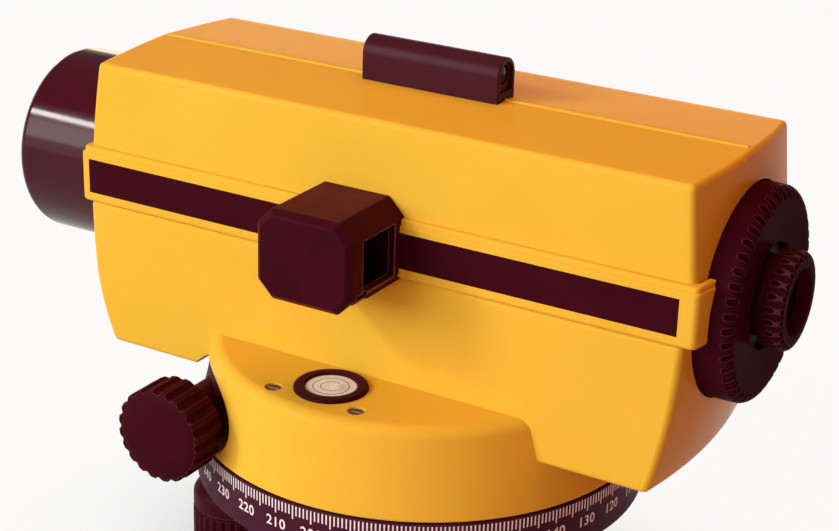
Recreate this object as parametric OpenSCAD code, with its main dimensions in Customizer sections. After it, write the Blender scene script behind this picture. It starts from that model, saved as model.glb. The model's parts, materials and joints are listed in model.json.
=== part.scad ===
// Automatic level for surveying: a telescope housing on a drum that turns over a
// graduated circle, carried by a tribrach with three foot screws on a base plate.
// +X runs along the line of sight, +Y to the instrument's left, +Z up.
// The origin lies on the vertical axis, on the underside of the base plate.
// Heights of the circle, drum and telescope are counted from the circle's top edge.

/* [Stack] */
// Height of the circle's top edge above the underside of the base
circle_top = 50; // [49.5:0.5:56]
// Height of the graduated circle
circle_h = 12.5; // [10:0.5:14]
// Radius of the graduated circle and of the drum's foot
circle_r = 57; // [55:0.5:62]
// Open line between circle and drum
drum_gap = 0.4; // [0.3:0.1:0.8]
// Height of the drum's shoulder
drum_h = 22; // [20:0.5:26]
// Radius that the drum loses from its foot to its shoulder
drum_taper = 4.6; // [2:0.2:6]
// Rounding of the shoulder's edge
drum_round = 3; // [1:0.5:4]

/* [Telescope housing] */
// Height of the line of sight
sight_axis = 53.5; // [52.5:0.5:55]
// Height of the housing's underside
body_bottom = 11.5; // [9:0.5:12.5]
// Height of the joint between lower housing and upper cover
parting = 49.8; // [48:0.2:51]
// Height of the roof's long edges
eave = 85.6; // [84:0.2:92]
// Rise of the roof from its edges to its ridge
ridge_rise = 1.1; // [0.4:0.1:3]
// Reach of the front face from the vertical axis
front_reach = 84.4; // [82:0.2:92]
// Reach of the rear face from the vertical axis
rear_reach = 85.3; // [83:0.2:92]
// Set-back of the roof's front end
front_top_set = 3.4; // [1:0.2:6]
// Set-back of the roof's rear end
rear_top_set = 3.8; // [1:0.2:6]
// Set-back of the front face's lower end
front_toe_set = 5.4; // [2:0.2:8]
// Height at which the front face starts to curve in
front_heel = 30; // [24:1:40]
// Swell of the front face in side view
front_bulge = 1.6; // [0.4:0.1:2.4]
// Step from the cover's rear face to the chin below it
chin_set = 2.7; // [1:0.1:3]
// Set-back of the chin's lower end
chin_toe_set = 8.8; // [5:0.2:11]
// Swell of the chin in side view
chin_bulge = 1.2; // [0.4:0.1:2]
// Swell of the front face in plan
front_bow = 1.8; // [0.6:0.1:3]
// Swell of the rear face in plan
rear_bow = 2.9; // [0.6:0.1:4]
// Half the width at the roof's edges
eave_half_w = 27.8; // [27:0.2:30]
// Half the width at the joint
waist_half_w = 29; // [28.2:0.2:31]
// Half the width at the underside
floor_half_w = 28; // [27.4:0.2:30]
// Wall thickness of both castings
shell = 2.4; // [1.8:0.1:2.6]
// Rounding of the roof's edges
edge_r = 2; // [0.5:0.25:3]
// Rounding of the underside's edges
floor_r = 3; // [1:0.25:4]

/* [Band and labels] */
// Height of the raised band
band_h = 14.4; // [13:0.2:18]
// How far the band stands proud
band_proud = 1.4; // [0.8:0.1:2]
// Height of the label strips
label_h = 9; // [6:0.2:10]
// Height of the strips' lower edge above the band's
label_rise = 2.4; // [1:0.1:3]
// Thickness of the strips
label_t = 0.6; // [0.3:0.1:0.8]
// Distance from the front reach to the strips' front end
label_front_gap = 3.9; // [3:0.1:8]
// Distance from the rear reach to the strips' rear end
label_rear_gap = 6.3; // [5:0.1:9]

/* [Objective] */
// Radius of the objective barrel
barrel_r = 24.3; // [23:0.1:25]
// How far the barrel stands out of the front face
barrel_proud = 25; // [20:0.5:32]
// Wall of the barrel round its mouth
barrel_wall = 3.3; // [2.5:0.1:4]
// Depth of the mouth in front of the lens ring
hood_depth = 11; // [8:0.5:14]
// Thickness of the objective lens at its rim
lens_t = 7; // [4:0.5:9]
// Thickness of the ring that holds the lens
retainer_t = 3; // [2:0.5:4]
// Thickness of the bulkhead that carries the barrel
bulkhead_t = 7; // [5:0.5:9]

/* [Focusing] */
// Rest position of the focusing cell along the line of sight
focus_x = 39; // [38:0.5:41]
// Travel of the focusing cell each way
focus_travel = 9; // [6:0.5:9.5]
// Length of the focusing cell
focus_cell_l = 18; // [14:1:20]
// Bore of the guide tube
guide_r = 15; // [14:0.1:15.4]
// Wall of the guide tube
guide_wall = 2; // [1.4:0.1:2.2]
// Tip radius of the focusing pinion
pinion_r = 5.4; // [4.8:0.1:5.8]
// Radius of the focusing knob
focus_knob_r = 16; // [13:0.5:18]
// Thickness of the focusing knob
focus_knob_t = 14.5; // [10:0.5:18]

/* [Eyepiece] */
// Radius of the notched cover ring
cover_ring_r = 25.1; // [23:0.1:25.4]
// Thickness of the cover ring
cover_ring_t = 9.9; // [8:0.1:11]
// Depth of the ring's seat in the rear face
seat_depth = 6.3; // [5.6:0.1:7]
// Notches round the cover ring
cover_ring_notches = 40; // [24:2:48]
// Radius of the dioptre ring
dioptre_r = 11.5; // [11.4:0.1:12.6]
// How far the dioptre ring stands out of the cover ring
dioptre_proud = 6.3; // [5.8:0.1:9]
// Notches round the dioptre ring
dioptre_notches = 22; // [14:2:28]
// Bore of the eyepiece tube
eyepiece_r = 9.5; // [9:0.1:10]
// Axial travel of the eyepiece each way
dioptre_travel = 1.5; // [0.8:0.1:2]

/* [Sight] */
// Length of the peep sight
sight_l = 37; // [28:1:42]
// Width of the peep sight
sight_w = 8.4; // [7:0.2:11]
// Height of the peep sight above the ridge
sight_h = 10.2; // [9:0.2:14]
// Shift of the sight's middle towards the eyepiece
sight_shift = 1.5; // [0:0.5:6]
// Radius of the sight's tunnel
tunnel_r = 2.4; // [2:0.1:2.8]

/* [Vial and prism] */
// Position of the vial along the line of sight
vial_x = 2.7; // [-4:0.1:6]
// Open line between the housing's side and the vial's bezel
vial_gap = 0.7; // [0.5:0.1:2]
// Radius of the vial's bezel
vial_r = 8.9; // [8:0.1:9]
// Radius of the vial's glass
vial_glass_r = 6.3; // [5:0.1:6.6]
// Distance of the adjusting screws from the vial's middle
vial_screw_r = 13.5; // [12.5:0.1:14.5]
// Half the width of the prism housing
prism_half_w = 12.8; // [11.5:0.1:14]
// Height of the prism housing's underside
prism_low = 46.7; // [44:0.1:48]
// Height of the prism housing
prism_h = 22; // [20:0.2:24]
// Reach of the prism housing beyond the vial's middle
prism_over = 12.9; // [11.4:0.1:15]
// Cut corners of the prism housing
prism_cut = 4.1; // [3:0.1:5.5]
// Bevel round the housing's outer face
prism_bevel = 1.5; // [0.5:0.1:2]
// Wall of the prism housing
prism_wall = 1.8; // [1.4:0.1:2]

/* [Fine drive] */
// Teeth of the worm wheel
wheel_teeth = 72; // [60:2:84]
// Tip radius of the worm wheel
wheel_r = 33.4; // [31:0.2:34]
// Tip radius of the worm
worm_r = 4.2; // [3.6:0.1:4.4]
// Height of the worm's axis
worm_z = 8.1; // [7.8:0.1:8.6]
// Radius of the tangent knobs
tangent_knob_r = 11.9; // [10:0.1:12.2]
// Thickness of the tangent knobs
tangent_knob_t = 10.8; // [8:0.1:13]
// Flutes round a tangent knob
tangent_flutes = 20; // [14:1:26]
// Half the length of the oval openings behind the tangent knobs
slot_half_l = 13.6; // [11:0.1:14.5]
// Half the height of the oval openings
slot_half_h = 7; // [6:0.1:7.1]
// Radius of the worm shaft
worm_shaft_r = 3; // [2.4:0.1:3.4]
// How far the inserts lie below the drum's skin
insert_sink = 0.5; // [0.2:0.1:1.5]

/* [Levelling base] */
// How far the foot screws stand inside the circle's rim
foot_inset = 10; // [7:0.5:11]
// Radius of the foot knobs
foot_knob_r = 11.5; // [10:0.1:12.5]
// Height of the ribbed part of the foot knobs
foot_knob_h = 12.2; // [10:0.1:12.4]
// Ribs round a foot knob
foot_ribs = 30; // [20:2:36]
// Radius of the foot spindles
foot_spindle_r = 4; // [3.4:0.1:4.4]
// Radius of the foot spindles' balls
ball_r = 3.2; // [3:0.1:3.4]
// Thickness of the tribrach's arms
arm_t = 5.4; // [4.8:0.1:6]
// Thickness of the base plate
base_t = 6; // [5.6:0.1:6.6]
// Radius of the base plate's rounded corners
lobe_r = 14; // [12:0.5:16]
// Radius of the bore for the tripod screw
tripod_r = 6.8; // [6.7:0.05:6.95]
// Length of the bore for the tripod screw
tripod_l = 11; // [9:0.5:12]
// Radius of the vertical spindle
spindle_r = 9; // [8:0.1:10]

/* [Hidden] */
$fn = 96;
eps = 0.01;
// Radial play of a running fit, and play between pieces that pass each other
fit = 0.06;
clear = 0.35;

ridge = eave + ridge_rise;
front_bow_r = waist_half_w * waist_half_w / (2 * front_bow) + front_bow / 2;
rear_bow_r = waist_half_w * waist_half_w / (2 * rear_bow) + rear_bow / 2;
body_l = 2 * (front_reach + rear_reach);

// Heights inside the drum: roof over the worm wheel, floor of the housing above it
drum_low = drum_gap;
wheel_roof = worm_z + worm_r + 2.5;
deck = wheel_roof + 2.5;
drum_wall = 6.5;

// Stations along the line of sight
bulkhead_front = front_reach - 8.4;
bulkhead_back = bulkhead_front - bulkhead_t;
barrel_front = front_reach + barrel_proud;
hood_r = barrel_r - barrel_wall;
retainer_x = barrel_front - hood_depth - retainer_t;
lens_x = retainer_x - lens_t;
stop_r = hood_r - 3;
guide_back = focus_x - focus_travel - focus_cell_l / 2 - 13;
seat_x = -rear_reach + seat_depth;
rear_bulkhead_t = 8;
tube_r = eyepiece_r + 2.7;
ring_front = seat_x - cover_ring_t;
dioptre_front = ring_front - dioptre_proud;
dioptre_back = dioptre_front + dioptre_proud - 0.6;
tube_back = dioptre_back + dioptre_travel + 1.5;
reticle_x = seat_x + 16;

// Focusing drive
cell_flat = guide_r - 0.7;
rack_h = 5.2;
rack_low = sight_axis - rack_h / 2 - 1;
rack_out = guide_r + guide_wall + 2.8;
rack_l = 2 * (focus_travel + 7);
mesh_gap = 0.3;
pinion_z = rack_low - mesh_gap - pinion_r;
pinion_teeth = 20;
rack_pitch = 2 * PI * (pinion_r + mesh_gap / 2) / pinion_teeth;
pinion_shaft_r = 2.2;
focus_bush_r = 4;
focus_bush_out = waist_half_w + band_proud + 0.8;
focus_knob_y = focus_bush_out + clear;

// Fine drive
worm_x = wheel_r + mesh_gap + worm_r;
tangent_knob_y = max([for (k = [0:10]) knob_back_at(drum_low + k * (worm_z - drum_low) / 10)]);
insert_in = circle_r - drum_wall - 4.5;
tangent_neck_r = worm_shaft_r + 3;
tangent_neck_y = sqrt(
    pow(drum_side(worm_z - tangent_neck_r) - insert_sink + clear, 2) - pow(worm_x - tangent_neck_r, 2)
);
bush_r = spindle_r + 4.9;
bush_top = worm_z + 3.1;
wheel_low = worm_z - 3;
wheel_high = worm_z + 2.6;
flange_low = bush_top + clear;
flange_r = 20;

// Tribrach heights, counted from the circle's top edge
seat_h = circle_h + clear;
arm_top = -circle_h - 8.5;
arm_low = arm_top - arm_t;
hub_r = circle_r - 7;
hub_top = -1.2;
rim_r = circle_r - 4;

// Foot screws, heights counted from the base
foot_ring_r = circle_r - foot_inset;
foot_angles = [30, 150, 270];
foot_pivot = ball_r + 1;
arm_low_abs = circle_top + arm_low;
knob_top = arm_low_abs - clear;
knob_low = knob_top - foot_knob_h;
knob_neck_r = foot_spindle_r + 2.5;
knob_neck_top = arm_low_abs + 3.2;
spindle_top = arm_low_abs + 1.4;
spring_t = 1;
spring_hole_r = sqrt(pow(ball_r, 2) - pow(base_t - foot_pivot, 2)) + 0.2;
base_hub_r = tripod_r + 7;

// Vial and prism
vial_y = waist_half_w + vial_gap + vial_r;
prism_reach = vial_y + prism_over;

// Compensator
comp_x = -29;
cheek_y = 15;
cheek_t = 2;
comp_base_t = 3;
pivot_z = sight_axis + 20.5;
bob_half = [8, 11, 8];
swing_prism_half = 6;
swing_prism_back = 3;
fixed_prism_half = 10;
fixed_prism_off = 12;
blade_half = 1;
magnet_gap = 1.2;
magnet_size = [7, 16, 18];

// Cover screws, in posts that stand against the side walls
post_r = 3.4;
post_head_r = 2.4;
post_y = waist_half_w - shell - post_r + 0.9;
front_post_x = bulkhead_back - post_r - 5.6;
rear_post_x = seat_x + rear_bulkhead_t + post_r + 7.6;

// Outlines

function unit(v) = v / norm(v);

// Arc of radius r in the corner at p, between the neighbours a and b
function corner_arc(a, p, b, r, n) =
    r <= 0 ? [p] :
    let (
        u = unit(a - p),
        v = unit(b - p),
        half = acos(u * v) / 2,
        mid = p + unit(u + v) * r / sin(half),
        from = p + u * r / tan(half) - mid,
        to = p + v * r / tan(half) - mid,
        start = atan2(from.y, from.x),
        sweep = atan2(cross(from, to), from * to)
    )
    [for (i = [0:n]) mid + r * [cos(start + sweep * i / n), sin(start + sweep * i / n)]];

// Closed outline with its corners rounded, one radius for each corner
function rounded(pts, radii, n = 5) =
    let (count = len(pts))
    [for (i = [0:count - 1])
        each corner_arc(pts[(i + count - 1) % count], pts[i], pts[(i + 1) % count], radii[i], n)];

// Points between a and b on a shallow curve that swells to the left of the way from a to b
function swell(a, b, bulge, n = 8) =
    let (d = unit(b - a))
    [for (i = [1:n - 1]) let (t = i / n) a + (b - a) * t + [-d.y, d.x] * 4 * bulge * t * (1 - t)];

// Half outline of a lens face of radius r, from the middle out or from the rim in
function lens_face(r, rim, bulge, n = 8) = [for (i = [0:n]) [r * i / n, rim + bulge * (1 - pow(i / n, 2))]];
function reversed(list) = [for (i = [len(list) - 1:-1:0]) list[i]];

// Front and rear faces in side view, from the top down, a distance t inside the skin
function front_face(t) =
    let (
        top = [front_reach - front_top_set - t, ridge - t],
        heel = [front_reach - 0.4 - t, front_heel],
        toe = [front_reach - front_toe_set - t, body_bottom + t]
    )
    concat([top], swell(top, heel, front_bulge), [heel], swell(heel, toe, 0.7), [toe]);

function cover_rear_face(t) =
    let (slope = rear_top_set / (ridge - parting))
    [[rear_reach - rear_top_set - t, ridge - t], [rear_reach - t + slope, parting - 1]];

function chin_face(t) =
    let (
        top = [rear_reach - chin_set - t, parting + 1],
        toe = [rear_reach - chin_toe_set - t, body_bottom + t]
    )
    concat([top], swell(top, toe, chin_bulge), [toe]);

// Half width of the cover's side at height h
function cover_side(h) = eave_half_w + (waist_half_w - eave_half_w) * (eave - h) / (eave - parting);

// Radius of the drum at height h
function drum_side(h) = circle_r - drum_taper * h / drum_h;

// Where a tangent knob's back clears the drum at height h
function knob_back_at(h) =
    let (inner = worm_x - sqrt(pow(tangent_knob_r, 2) - pow(h - worm_z, 2)))
    sqrt(pow(drum_side(h) + clear, 2) - pow(inner, 2));

function foot_place(i) = foot_ring_r * [cos(foot_angles[i]), sin(foot_angles[i])];

// Shared forms

module lift() {
    translate([0, 0, circle_top])
        children();
}

// Local +Z runs along the line of sight from station x
module on_sight_axis(x) {
    translate([x, 0, sight_axis])
        rotate([0, 90, 0])
            children();
}

// Local +Z runs along +Y from the point given
module along_y(x, y, z) {
    translate([x, y, z])
        rotate([-90, 0, 0])
            children();
}

module tube(r_out, r_in, h) {
    difference() {
        cylinder(r = r_out, h = h);
        translate([0, 0, -1])
            cylinder(r = r_in, h = h + 2);
    }
}

module lens(r, t, bulge_low, bulge_high) {
    rotate_extrude()
        polygon(concat(lens_face(r, 0, -bulge_low), reversed(lens_face(r, t, bulge_high))));
}

// Countersunk or cheese-head screw with its head at the top
module screw(head_r, head_h, shank_r, shank_l) {
    difference() {
        union() {
            cylinder(r = head_r, h = head_h);
            translate([0, 0, -shank_l])
                cylinder(r = shank_r, h = shank_l + eps);
        }
        translate([-head_r, -head_r / 8, head_h * 0.6])
            cube([2 * head_r, head_r / 4, head_h]);
    }
}

// Solid knob with rounded rims and grooves round it
module grooved_knob(r, h, rim, grooves, groove_r) {
    difference() {
        rotate_extrude()
            polygon(rounded([[0, 0], [r, 0], [r, h], [0, h]], [0, rim, rim, 0]));
        for (i = [0:grooves - 1])
            rotate(i * 360 / grooves)
                translate([r + groove_r * 0.45, 0, -1])
                    cylinder(r = groove_r, h = h + 2, $fn = 24);
    }
}

// Disc whose rim carries a face of the housing, so that the face swells in plan too
module end_form(face, top_r, toe_r, reach, bow_r, side) {
    rim = [for (p = face) [bow_r + p.x - reach, p.y]];
    last = len(rim) - 1;
    radii = [for (i = [0:last]) i == 0 ? top_r : i == last ? toe_r : 0];
    translate([side * (reach - bow_r), 0, 0])
        rotate_extrude($fn = 360)
            polygon(rounded(concat([[0, rim[0].y]], rim, [[0, rim[last].y]]), concat([0], radii, [0])));
}

module across_x(outline) {
    rotate([90, 0, 90])
        linear_extrude(body_l, center = true)
            polygon(outline);
}

// Cross-sections of cover, band and lower housing
function cover_section(t, low) =
    let (foot = cover_side(low) - t)
    rounded(
        [[-foot, low], [-eave_half_w + t, eave - t], [0, ridge - t], [eave_half_w - t, eave - t], [foot, low]],
        [0, max(edge_r - t, 0), 0, max(edge_r - t, 0), 0]
    );

function band_section() =
    let (half = waist_half_w + band_proud, high = parting + band_h)
    rounded([[-half, parting], [-half, high], [half, high], [half, parting]], [0.5, 0.8, 0.8, 0.5]);

function floor_section(t, high) =
    let (soft = max(floor_r - t, 0))
    rounded(
        [[-waist_half_w + t, high], [-floor_half_w + t, body_bottom + t], [floor_half_w - t, body_bottom + t],
            [waist_half_w - t, high]],
        [0, soft, soft, 0]
    );

module cover_form(t, low) {
    intersection() {
        across_x(cover_section(t, low));
        end_form(front_face(t), max(edge_r - t, 0), 0, front_reach, front_bow_r, 1);
        end_form(cover_rear_face(t), max(edge_r - t, 0), 0, rear_reach, rear_bow_r, -1);
    }
}

module band_form() {
    front = front_reach + band_proud;
    rear = rear_reach + 0.2;
    high = parting + band_h;
    intersection() {
        across_x(band_section());
        end_form([[front, high], [front, parting]], 0.8, 0.5, front, front_bow_r, 1);
        end_form([[rear, high], [rear, parting]], 0.8, 0.5, rear, rear_bow_r, -1);
    }
}

module floor_form(t, high) {
    intersection() {
        across_x(floor_section(t, high));
        end_form(front_face(t), 0, max(floor_r - t, 0), front_reach, front_bow_r, 1);
        end_form(chin_face(t), 0, max(floor_r - t, 0), rear_reach, rear_bow_r, -1);
    }
}

module drum_form() {
    rotate_extrude()
        polygon(rounded(
            [[0, drum_low], [drum_side(0), drum_low], [drum_side(drum_h), drum_h], [0, drum_h]],
            [0, 0.3, drum_round, 0]
        ));
}

// Openings for the barrel and for the cover ring, shared by both castings
module end_openings() {
    on_sight_axis(bulkhead_front + clear)
        cylinder(r = barrel_r + clear, h = front_reach);
    on_sight_axis(-2 * rear_reach)
        cylinder(r = cover_ring_r + clear, h = 2 * rear_reach + seat_x + rear_bulkhead_t);
}

module at_posts() {
    for (x = [rear_post_x, front_post_x], side = [-1, 1])
        translate([x, side * post_y, 0])
            children();
}

// Castings

module upper_cover() {
    boss_h = 10;
    label_y = waist_half_w + band_proud - label_t;
    color("gold")
        lift()
            difference() {
                union() {
                    difference() {
                        union() {
                            cover_form(0, parting);
                            band_form();
                        }
                        cover_form(shell, parting - 0.5);
                    }
                    intersection() {
                        at_posts()
                            translate([0, 0, parting])
                                cylinder(r = post_r, h = boss_h);
                        cover_form(shell / 2, parting);
                    }
                }
                end_openings();
                at_posts()
                    translate([0, 0, parting - 1])
                        cylinder(r = 1.5, h = boss_h);
                for (side = [-1, 1])
                    translate([-rear_reach + label_rear_gap, side > 0 ? label_y : -label_y - label_t - 1,
                            parting + label_rise])
                        cube([rear_reach + front_reach - label_rear_gap - label_front_gap, label_t + 1, label_h]);
            }
}

module label_strip(side) {
    color("black")
        lift()
            translate([-rear_reach + label_rear_gap + 0.1,
                    side > 0 ? waist_half_w + band_proud - label_t : -waist_half_w - band_proud + 0.1,
                    parting + label_rise + 0.1])
                cube([rear_reach + front_reach - label_rear_gap - label_front_gap - 0.2, label_t - 0.1,
                    label_h - 0.2]);
}

module label_strip_left() {
    label_strip(1);
}

module label_strip_right() {
    label_strip(-1);
}

module lower_housing() {
    front_disc_r = barrel_r + 0.7;
    rear_disc_r = cover_ring_r - 0.2;
    counterbore_r = post_head_r + clear;
    color("gold")
        lift()
            difference() {
                union() {
                    difference() {
                        union() {
                            floor_form(0, parting);
                            drum_form();
                        }
                        difference() {
                            floor_form(shell, parting + 1);
                            cylinder(r = circle_r - drum_wall, h = deck);
                        }
                        end_openings();
                    }
                    intersection() {
                        at_posts()
                            translate([0, 0, body_bottom])
                                cylinder(r = post_r, h = parting - body_bottom);
                        floor_form(shell / 2, parting);
                    }
                    on_sight_axis(bulkhead_back)
                        cylinder(r = front_disc_r, h = bulkhead_t);
                    on_sight_axis(seat_x)
                        cylinder(r = rear_disc_r, h = rear_bulkhead_t);
                    intersection() {
                        union() {
                            translate([bulkhead_back, -front_disc_r, body_bottom])
                                cube([bulkhead_t, 2 * front_disc_r, parting - body_bottom]);
                            translate([seat_x, -16, body_bottom])
                                cube([rear_bulkhead_t, 32, sight_axis - tube_r - body_bottom - 4]);
                        }
                        floor_form(shell / 2, parting);
                    }
                }
                on_sight_axis(bulkhead_back - 1)
                    cylinder(r = barrel_r - 2 + fit, h = bulkhead_t + 2);
                on_sight_axis(seat_x - 1)
                    cylinder(r = tube_r + fit, h = rear_bulkhead_t + 2);
                translate([0, 0, drum_low - 1])
                    cylinder(r = circle_r - drum_wall, h = wheel_roof - drum_low + 1);
                spindle_screw_places(wheel_roof - 1)
                    cylinder(r = 1.25, h = deck - wheel_roof + 0.8);
                drive_slots();
                at_posts()
                    translate([0, 0, body_bottom - 1])
                        cylinder(r = 1.7, h = parting);
                at_posts()
                    translate([0, 0, body_bottom - 1])
                        cylinder(r = counterbore_r, h = 4);
                along_y(focus_x, -focus_bush_out, pinion_z)
                    cylinder(r = focus_bush_r + fit, h = focus_bush_out - rack_out);
                translate([vial_x, vial_y, deck - 0.5])
                    cylinder(r = vial_r + clear, h = drum_h);
                vial_screw_places(drum_h - 1.6)
                    cylinder(r = 2.1, h = 3);
                vial_screw_places(drum_h - 6)
                    cylinder(r = 0.9, h = 5);
            }
}

module cover_screws() {
    color("silver")
        lift()
            at_posts()
                translate([0, 0, body_bottom + 3])
                    rotate([180, 0, 0])
                        screw(post_head_r, 2, 1.45, parting - body_bottom + 5);
}

// Objective and focusing

module objective_barrel() {
    color("black")
        lift()
            on_sight_axis(bulkhead_back)
                rotate_extrude()
                    polygon(rounded(
                        [
                            [stop_r, 0],
                            [barrel_r - 2, 0],
                            [barrel_r - 2, bulkhead_t + 0.1],
                            [barrel_r, bulkhead_t + 0.1],
                            [barrel_r, barrel_front - bulkhead_back],
                            [hood_r, barrel_front - bulkhead_back],
                            [hood_r, lens_x - bulkhead_back],
                            [stop_r, lens_x - bulkhead_back]
                        ],
                        [0, 0.5, 0, 0, 2.2, 0.8, 0, 0.5]
                    ));
}

module objective_lens() {
    color("lightblue", 0.5)
        lift()
            on_sight_axis(lens_x)
                lens(hood_r - 0.1, lens_t, 0, 1.6);
}

module objective_retainer() {
    color("dimgray")
        lift()
            on_sight_axis(retainer_x)
                difference() {
                    tube(hood_r - fit, stop_r + 1, retainer_t);
                    translate([0, 0, -1.6])
                        lens(hood_r, 1.6, 0, 1.6 + 2 * fit);
                    for (turn = [0, 90])
                        rotate(turn)
                            translate([-hood_r, -0.8, retainer_t - 1])
                                cube([2 * hood_r, 1.6, 2]);
                }
}

module guide_tube() {
    flange_t = 3;
    color("dimgray")
        lift()
            difference() {
                union() {
                    on_sight_axis(guide_back)
                        cylinder(r = guide_r + guide_wall, h = bulkhead_back - guide_back);
                    on_sight_axis(bulkhead_back - flange_t)
                        cylinder(r = guide_r + guide_wall + 4, h = flange_t);
                }
                on_sight_axis(guide_back - 1)
                    cylinder(r = guide_r, h = bulkhead_back - guide_back + 2);
                translate([focus_x - rack_l / 2 - focus_travel - clear, -2 * guide_r, rack_low - clear])
                    cube([rack_l + 2 * (focus_travel + clear), 2 * guide_r, rack_h + 2 * clear]);
            }
}

module focus_cell() {
    color("dimgray")
        lift()
            difference() {
                on_sight_axis(focus_x - focus_cell_l / 2)
                    tube(guide_r - fit, guide_r - 2.5, focus_cell_l);
                translate([focus_x - focus_cell_l, -2 * guide_r, rack_low - eps])
                    cube([2 * focus_cell_l, 2 * guide_r - cell_flat, rack_h + 2 * eps]);
            }
}

module focus_lens() {
    color("lightblue", 0.5)
        lift()
            on_sight_axis(focus_x - 3)
                lens(guide_r - 2.5, 6, -1, -1);
}

module focus_rack() {
    color("goldenrod")
        lift()
            difference() {
                translate([focus_x - rack_l / 2, -rack_out, rack_low])
                    cube([rack_l, rack_out - cell_flat, rack_h]);
                for (i = [0:floor(rack_l / rack_pitch) - 1])
                    translate([focus_x - rack_l / 2 + (i + 0.5) * rack_pitch, -rack_out - 1, rack_low])
                        rotate([0, 45, 0])
                            translate([-0.45, 0, -0.45])
                                cube([0.9, rack_out - guide_r - guide_wall + 1, 0.9]);
            }
}

module focus_pinion() {
    wide = rack_out - guide_r - guide_wall - 0.4;
    color("goldenrod")
        lift()
            union() {
                along_y(focus_x, -rack_out, pinion_z)
                    difference() {
                        cylinder(r = pinion_r, h = wide);
                        for (i = [0:pinion_teeth - 1])
                            rotate((i + 0.5) * 360 / pinion_teeth)
                                translate([pinion_r + 0.1, 0, -1])
                                    cylinder(r = 0.6, h = wide + 2, $fn = 12);
                    }
                along_y(focus_x, -focus_knob_y - focus_knob_t + 3, pinion_z)
                    cylinder(r = pinion_shaft_r, h = focus_knob_y + focus_knob_t - 3 - rack_out + eps);
            }
}

module focus_bush() {
    color("goldenrod")
        lift()
            along_y(focus_x, -focus_bush_out, pinion_z)
                tube(focus_bush_r, pinion_shaft_r + fit, focus_bush_out - rack_out - clear);
}

module focus_knob() {
    hub_h = 4;
    grip_h = focus_knob_t - hub_h;
    color("black")
        lift()
            along_y(focus_x, -focus_knob_y, pinion_z)
                rotate([180, 0, 0])
                    difference() {
                        union() {
                            cylinder(r = focus_knob_r - 3.5, h = hub_h + 1);
                            translate([0, 0, hub_h])
                                grooved_knob(focus_knob_r, grip_h, 1.6, 26, 1.2);
                        }
                        translate([0, 0, -1])
                            cylinder(r = pinion_shaft_r, h = focus_knob_t - 2);
                    }
}

// Compensator

module compensator_frame() {
    half_l = 23;
    bar_half = 3.5;
    cheek_high = pivot_z + 3 - deck;
    color("dimgray")
        lift()
            union() {
                translate([comp_x - half_l, -cheek_y - cheek_t, deck])
                    cube([2 * half_l, 2 * (cheek_y + cheek_t), comp_base_t]);
                for (side = [-1, 1])
                    translate([comp_x - half_l + 5, side > 0 ? cheek_y : -cheek_y - cheek_t, deck])
                        cube([2 * half_l - 10, cheek_t, cheek_high]);
                for (side = [-1, 1])
                    translate([comp_x - half_l, side > 0 ? cheek_y : -cheek_y - cheek_t, sight_axis - 12])
                        cube([2 * half_l, cheek_t, 24]);
                translate([comp_x - bar_half, -cheek_y - cheek_t, pivot_z + 0.1])
                    cube([2 * bar_half, 2 * (cheek_y + cheek_t), 2.9]);
            }
}

module pendulum() {
    prism_half = swing_prism_half;
    color("silver")
        lift()
            difference() {
                union() {
                    translate([comp_x - bob_half.x, -bob_half.y, sight_axis - bob_half.z])
                        cube(2 * bob_half);
                    translate([comp_x - blade_half, -8, deck + comp_base_t + 6])
                        cube([2 * blade_half, 16, sight_axis - bob_half.z - deck - comp_base_t - 6 + eps]);
                }
                translate([comp_x - bob_half.x - 1, -prism_half, sight_axis - prism_half])
                    cube([2 * bob_half.x + 2, 2 * prism_half, 2 * prism_half]);
            }
}

// Right-angle prism with its long face towards the side given
module roof_prism(x, half_y, half_z, depth, side) {
    translate([x, 0, sight_axis])
        rotate([90, 0, 0])
            linear_extrude(2 * half_y, center = true)
                polygon([[0, -half_z], [0, half_z], [side * depth, 0]]);
}

module pendulum_prism() {
    color("lightblue", 0.5)
        lift()
            roof_prism(comp_x - swing_prism_back, swing_prism_half, swing_prism_half, swing_prism_half, 1);
}

module front_prism() {
    color("lightblue", 0.5)
        lift()
            roof_prism(comp_x + fixed_prism_off, cheek_y, fixed_prism_half, fixed_prism_half, 1);
}

module rear_prism() {
    color("lightblue", 0.5)
        lift()
            roof_prism(comp_x - fixed_prism_off, cheek_y, fixed_prism_half, fixed_prism_half, -1);
}

module suspension_tapes() {
    low = sight_axis + bob_half.z;
    color("silver")
        lift()
            for (sx = [-1, 1], sy = [-1, 1])
                translate([comp_x + sx * 2.5 - 0.1, sy * 8 - 1.5, low])
                    cube([0.2, 3, pivot_z - low]);
}

module damper_magnets() {
    color("slategray")
        lift()
            for (side = [0, 180])
                translate([comp_x, 0, deck + comp_base_t])
                    rotate(side)
                        translate([blade_half + magnet_gap, -magnet_size.y / 2, 0])
                            cube(magnet_size);
}

// Eyepiece

module eyepiece_tube() {
    front = reticle_x + 6;
    color("dimgray")
        lift()
            difference() {
                on_sight_axis(tube_back)
                    tube(tube_r, eyepiece_r, front - tube_back);
                reticle_screw_places(eyepiece_r - 2)
                    cylinder(r = 0.9, h = 8, $fn = 24);
            }
}

module reticle_screw_places(r) {
    for (turn = [0:90:270])
        on_sight_axis(reticle_x + 2)
            rotate(turn)
                translate([r, 0, 0])
                    rotate([0, 90, 0])
                        children();
}

module reticle_cell() {
    color("goldenrod")
        lift()
            on_sight_axis(reticle_x)
                tube(eyepiece_r - 1, eyepiece_r - 3.5, 4);
}

module reticle() {
    color("lightblue", 0.5)
        lift()
            on_sight_axis(reticle_x + 1.2)
                cylinder(r = eyepiece_r - 3.5, h = 1.5);
}

module reticle_screws() {
    color("silver")
        lift()
            reticle_screw_places(eyepiece_r - 1)
                cylinder(r = 0.9, h = tube_r - eyepiece_r + 2, $fn = 24);
}

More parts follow.
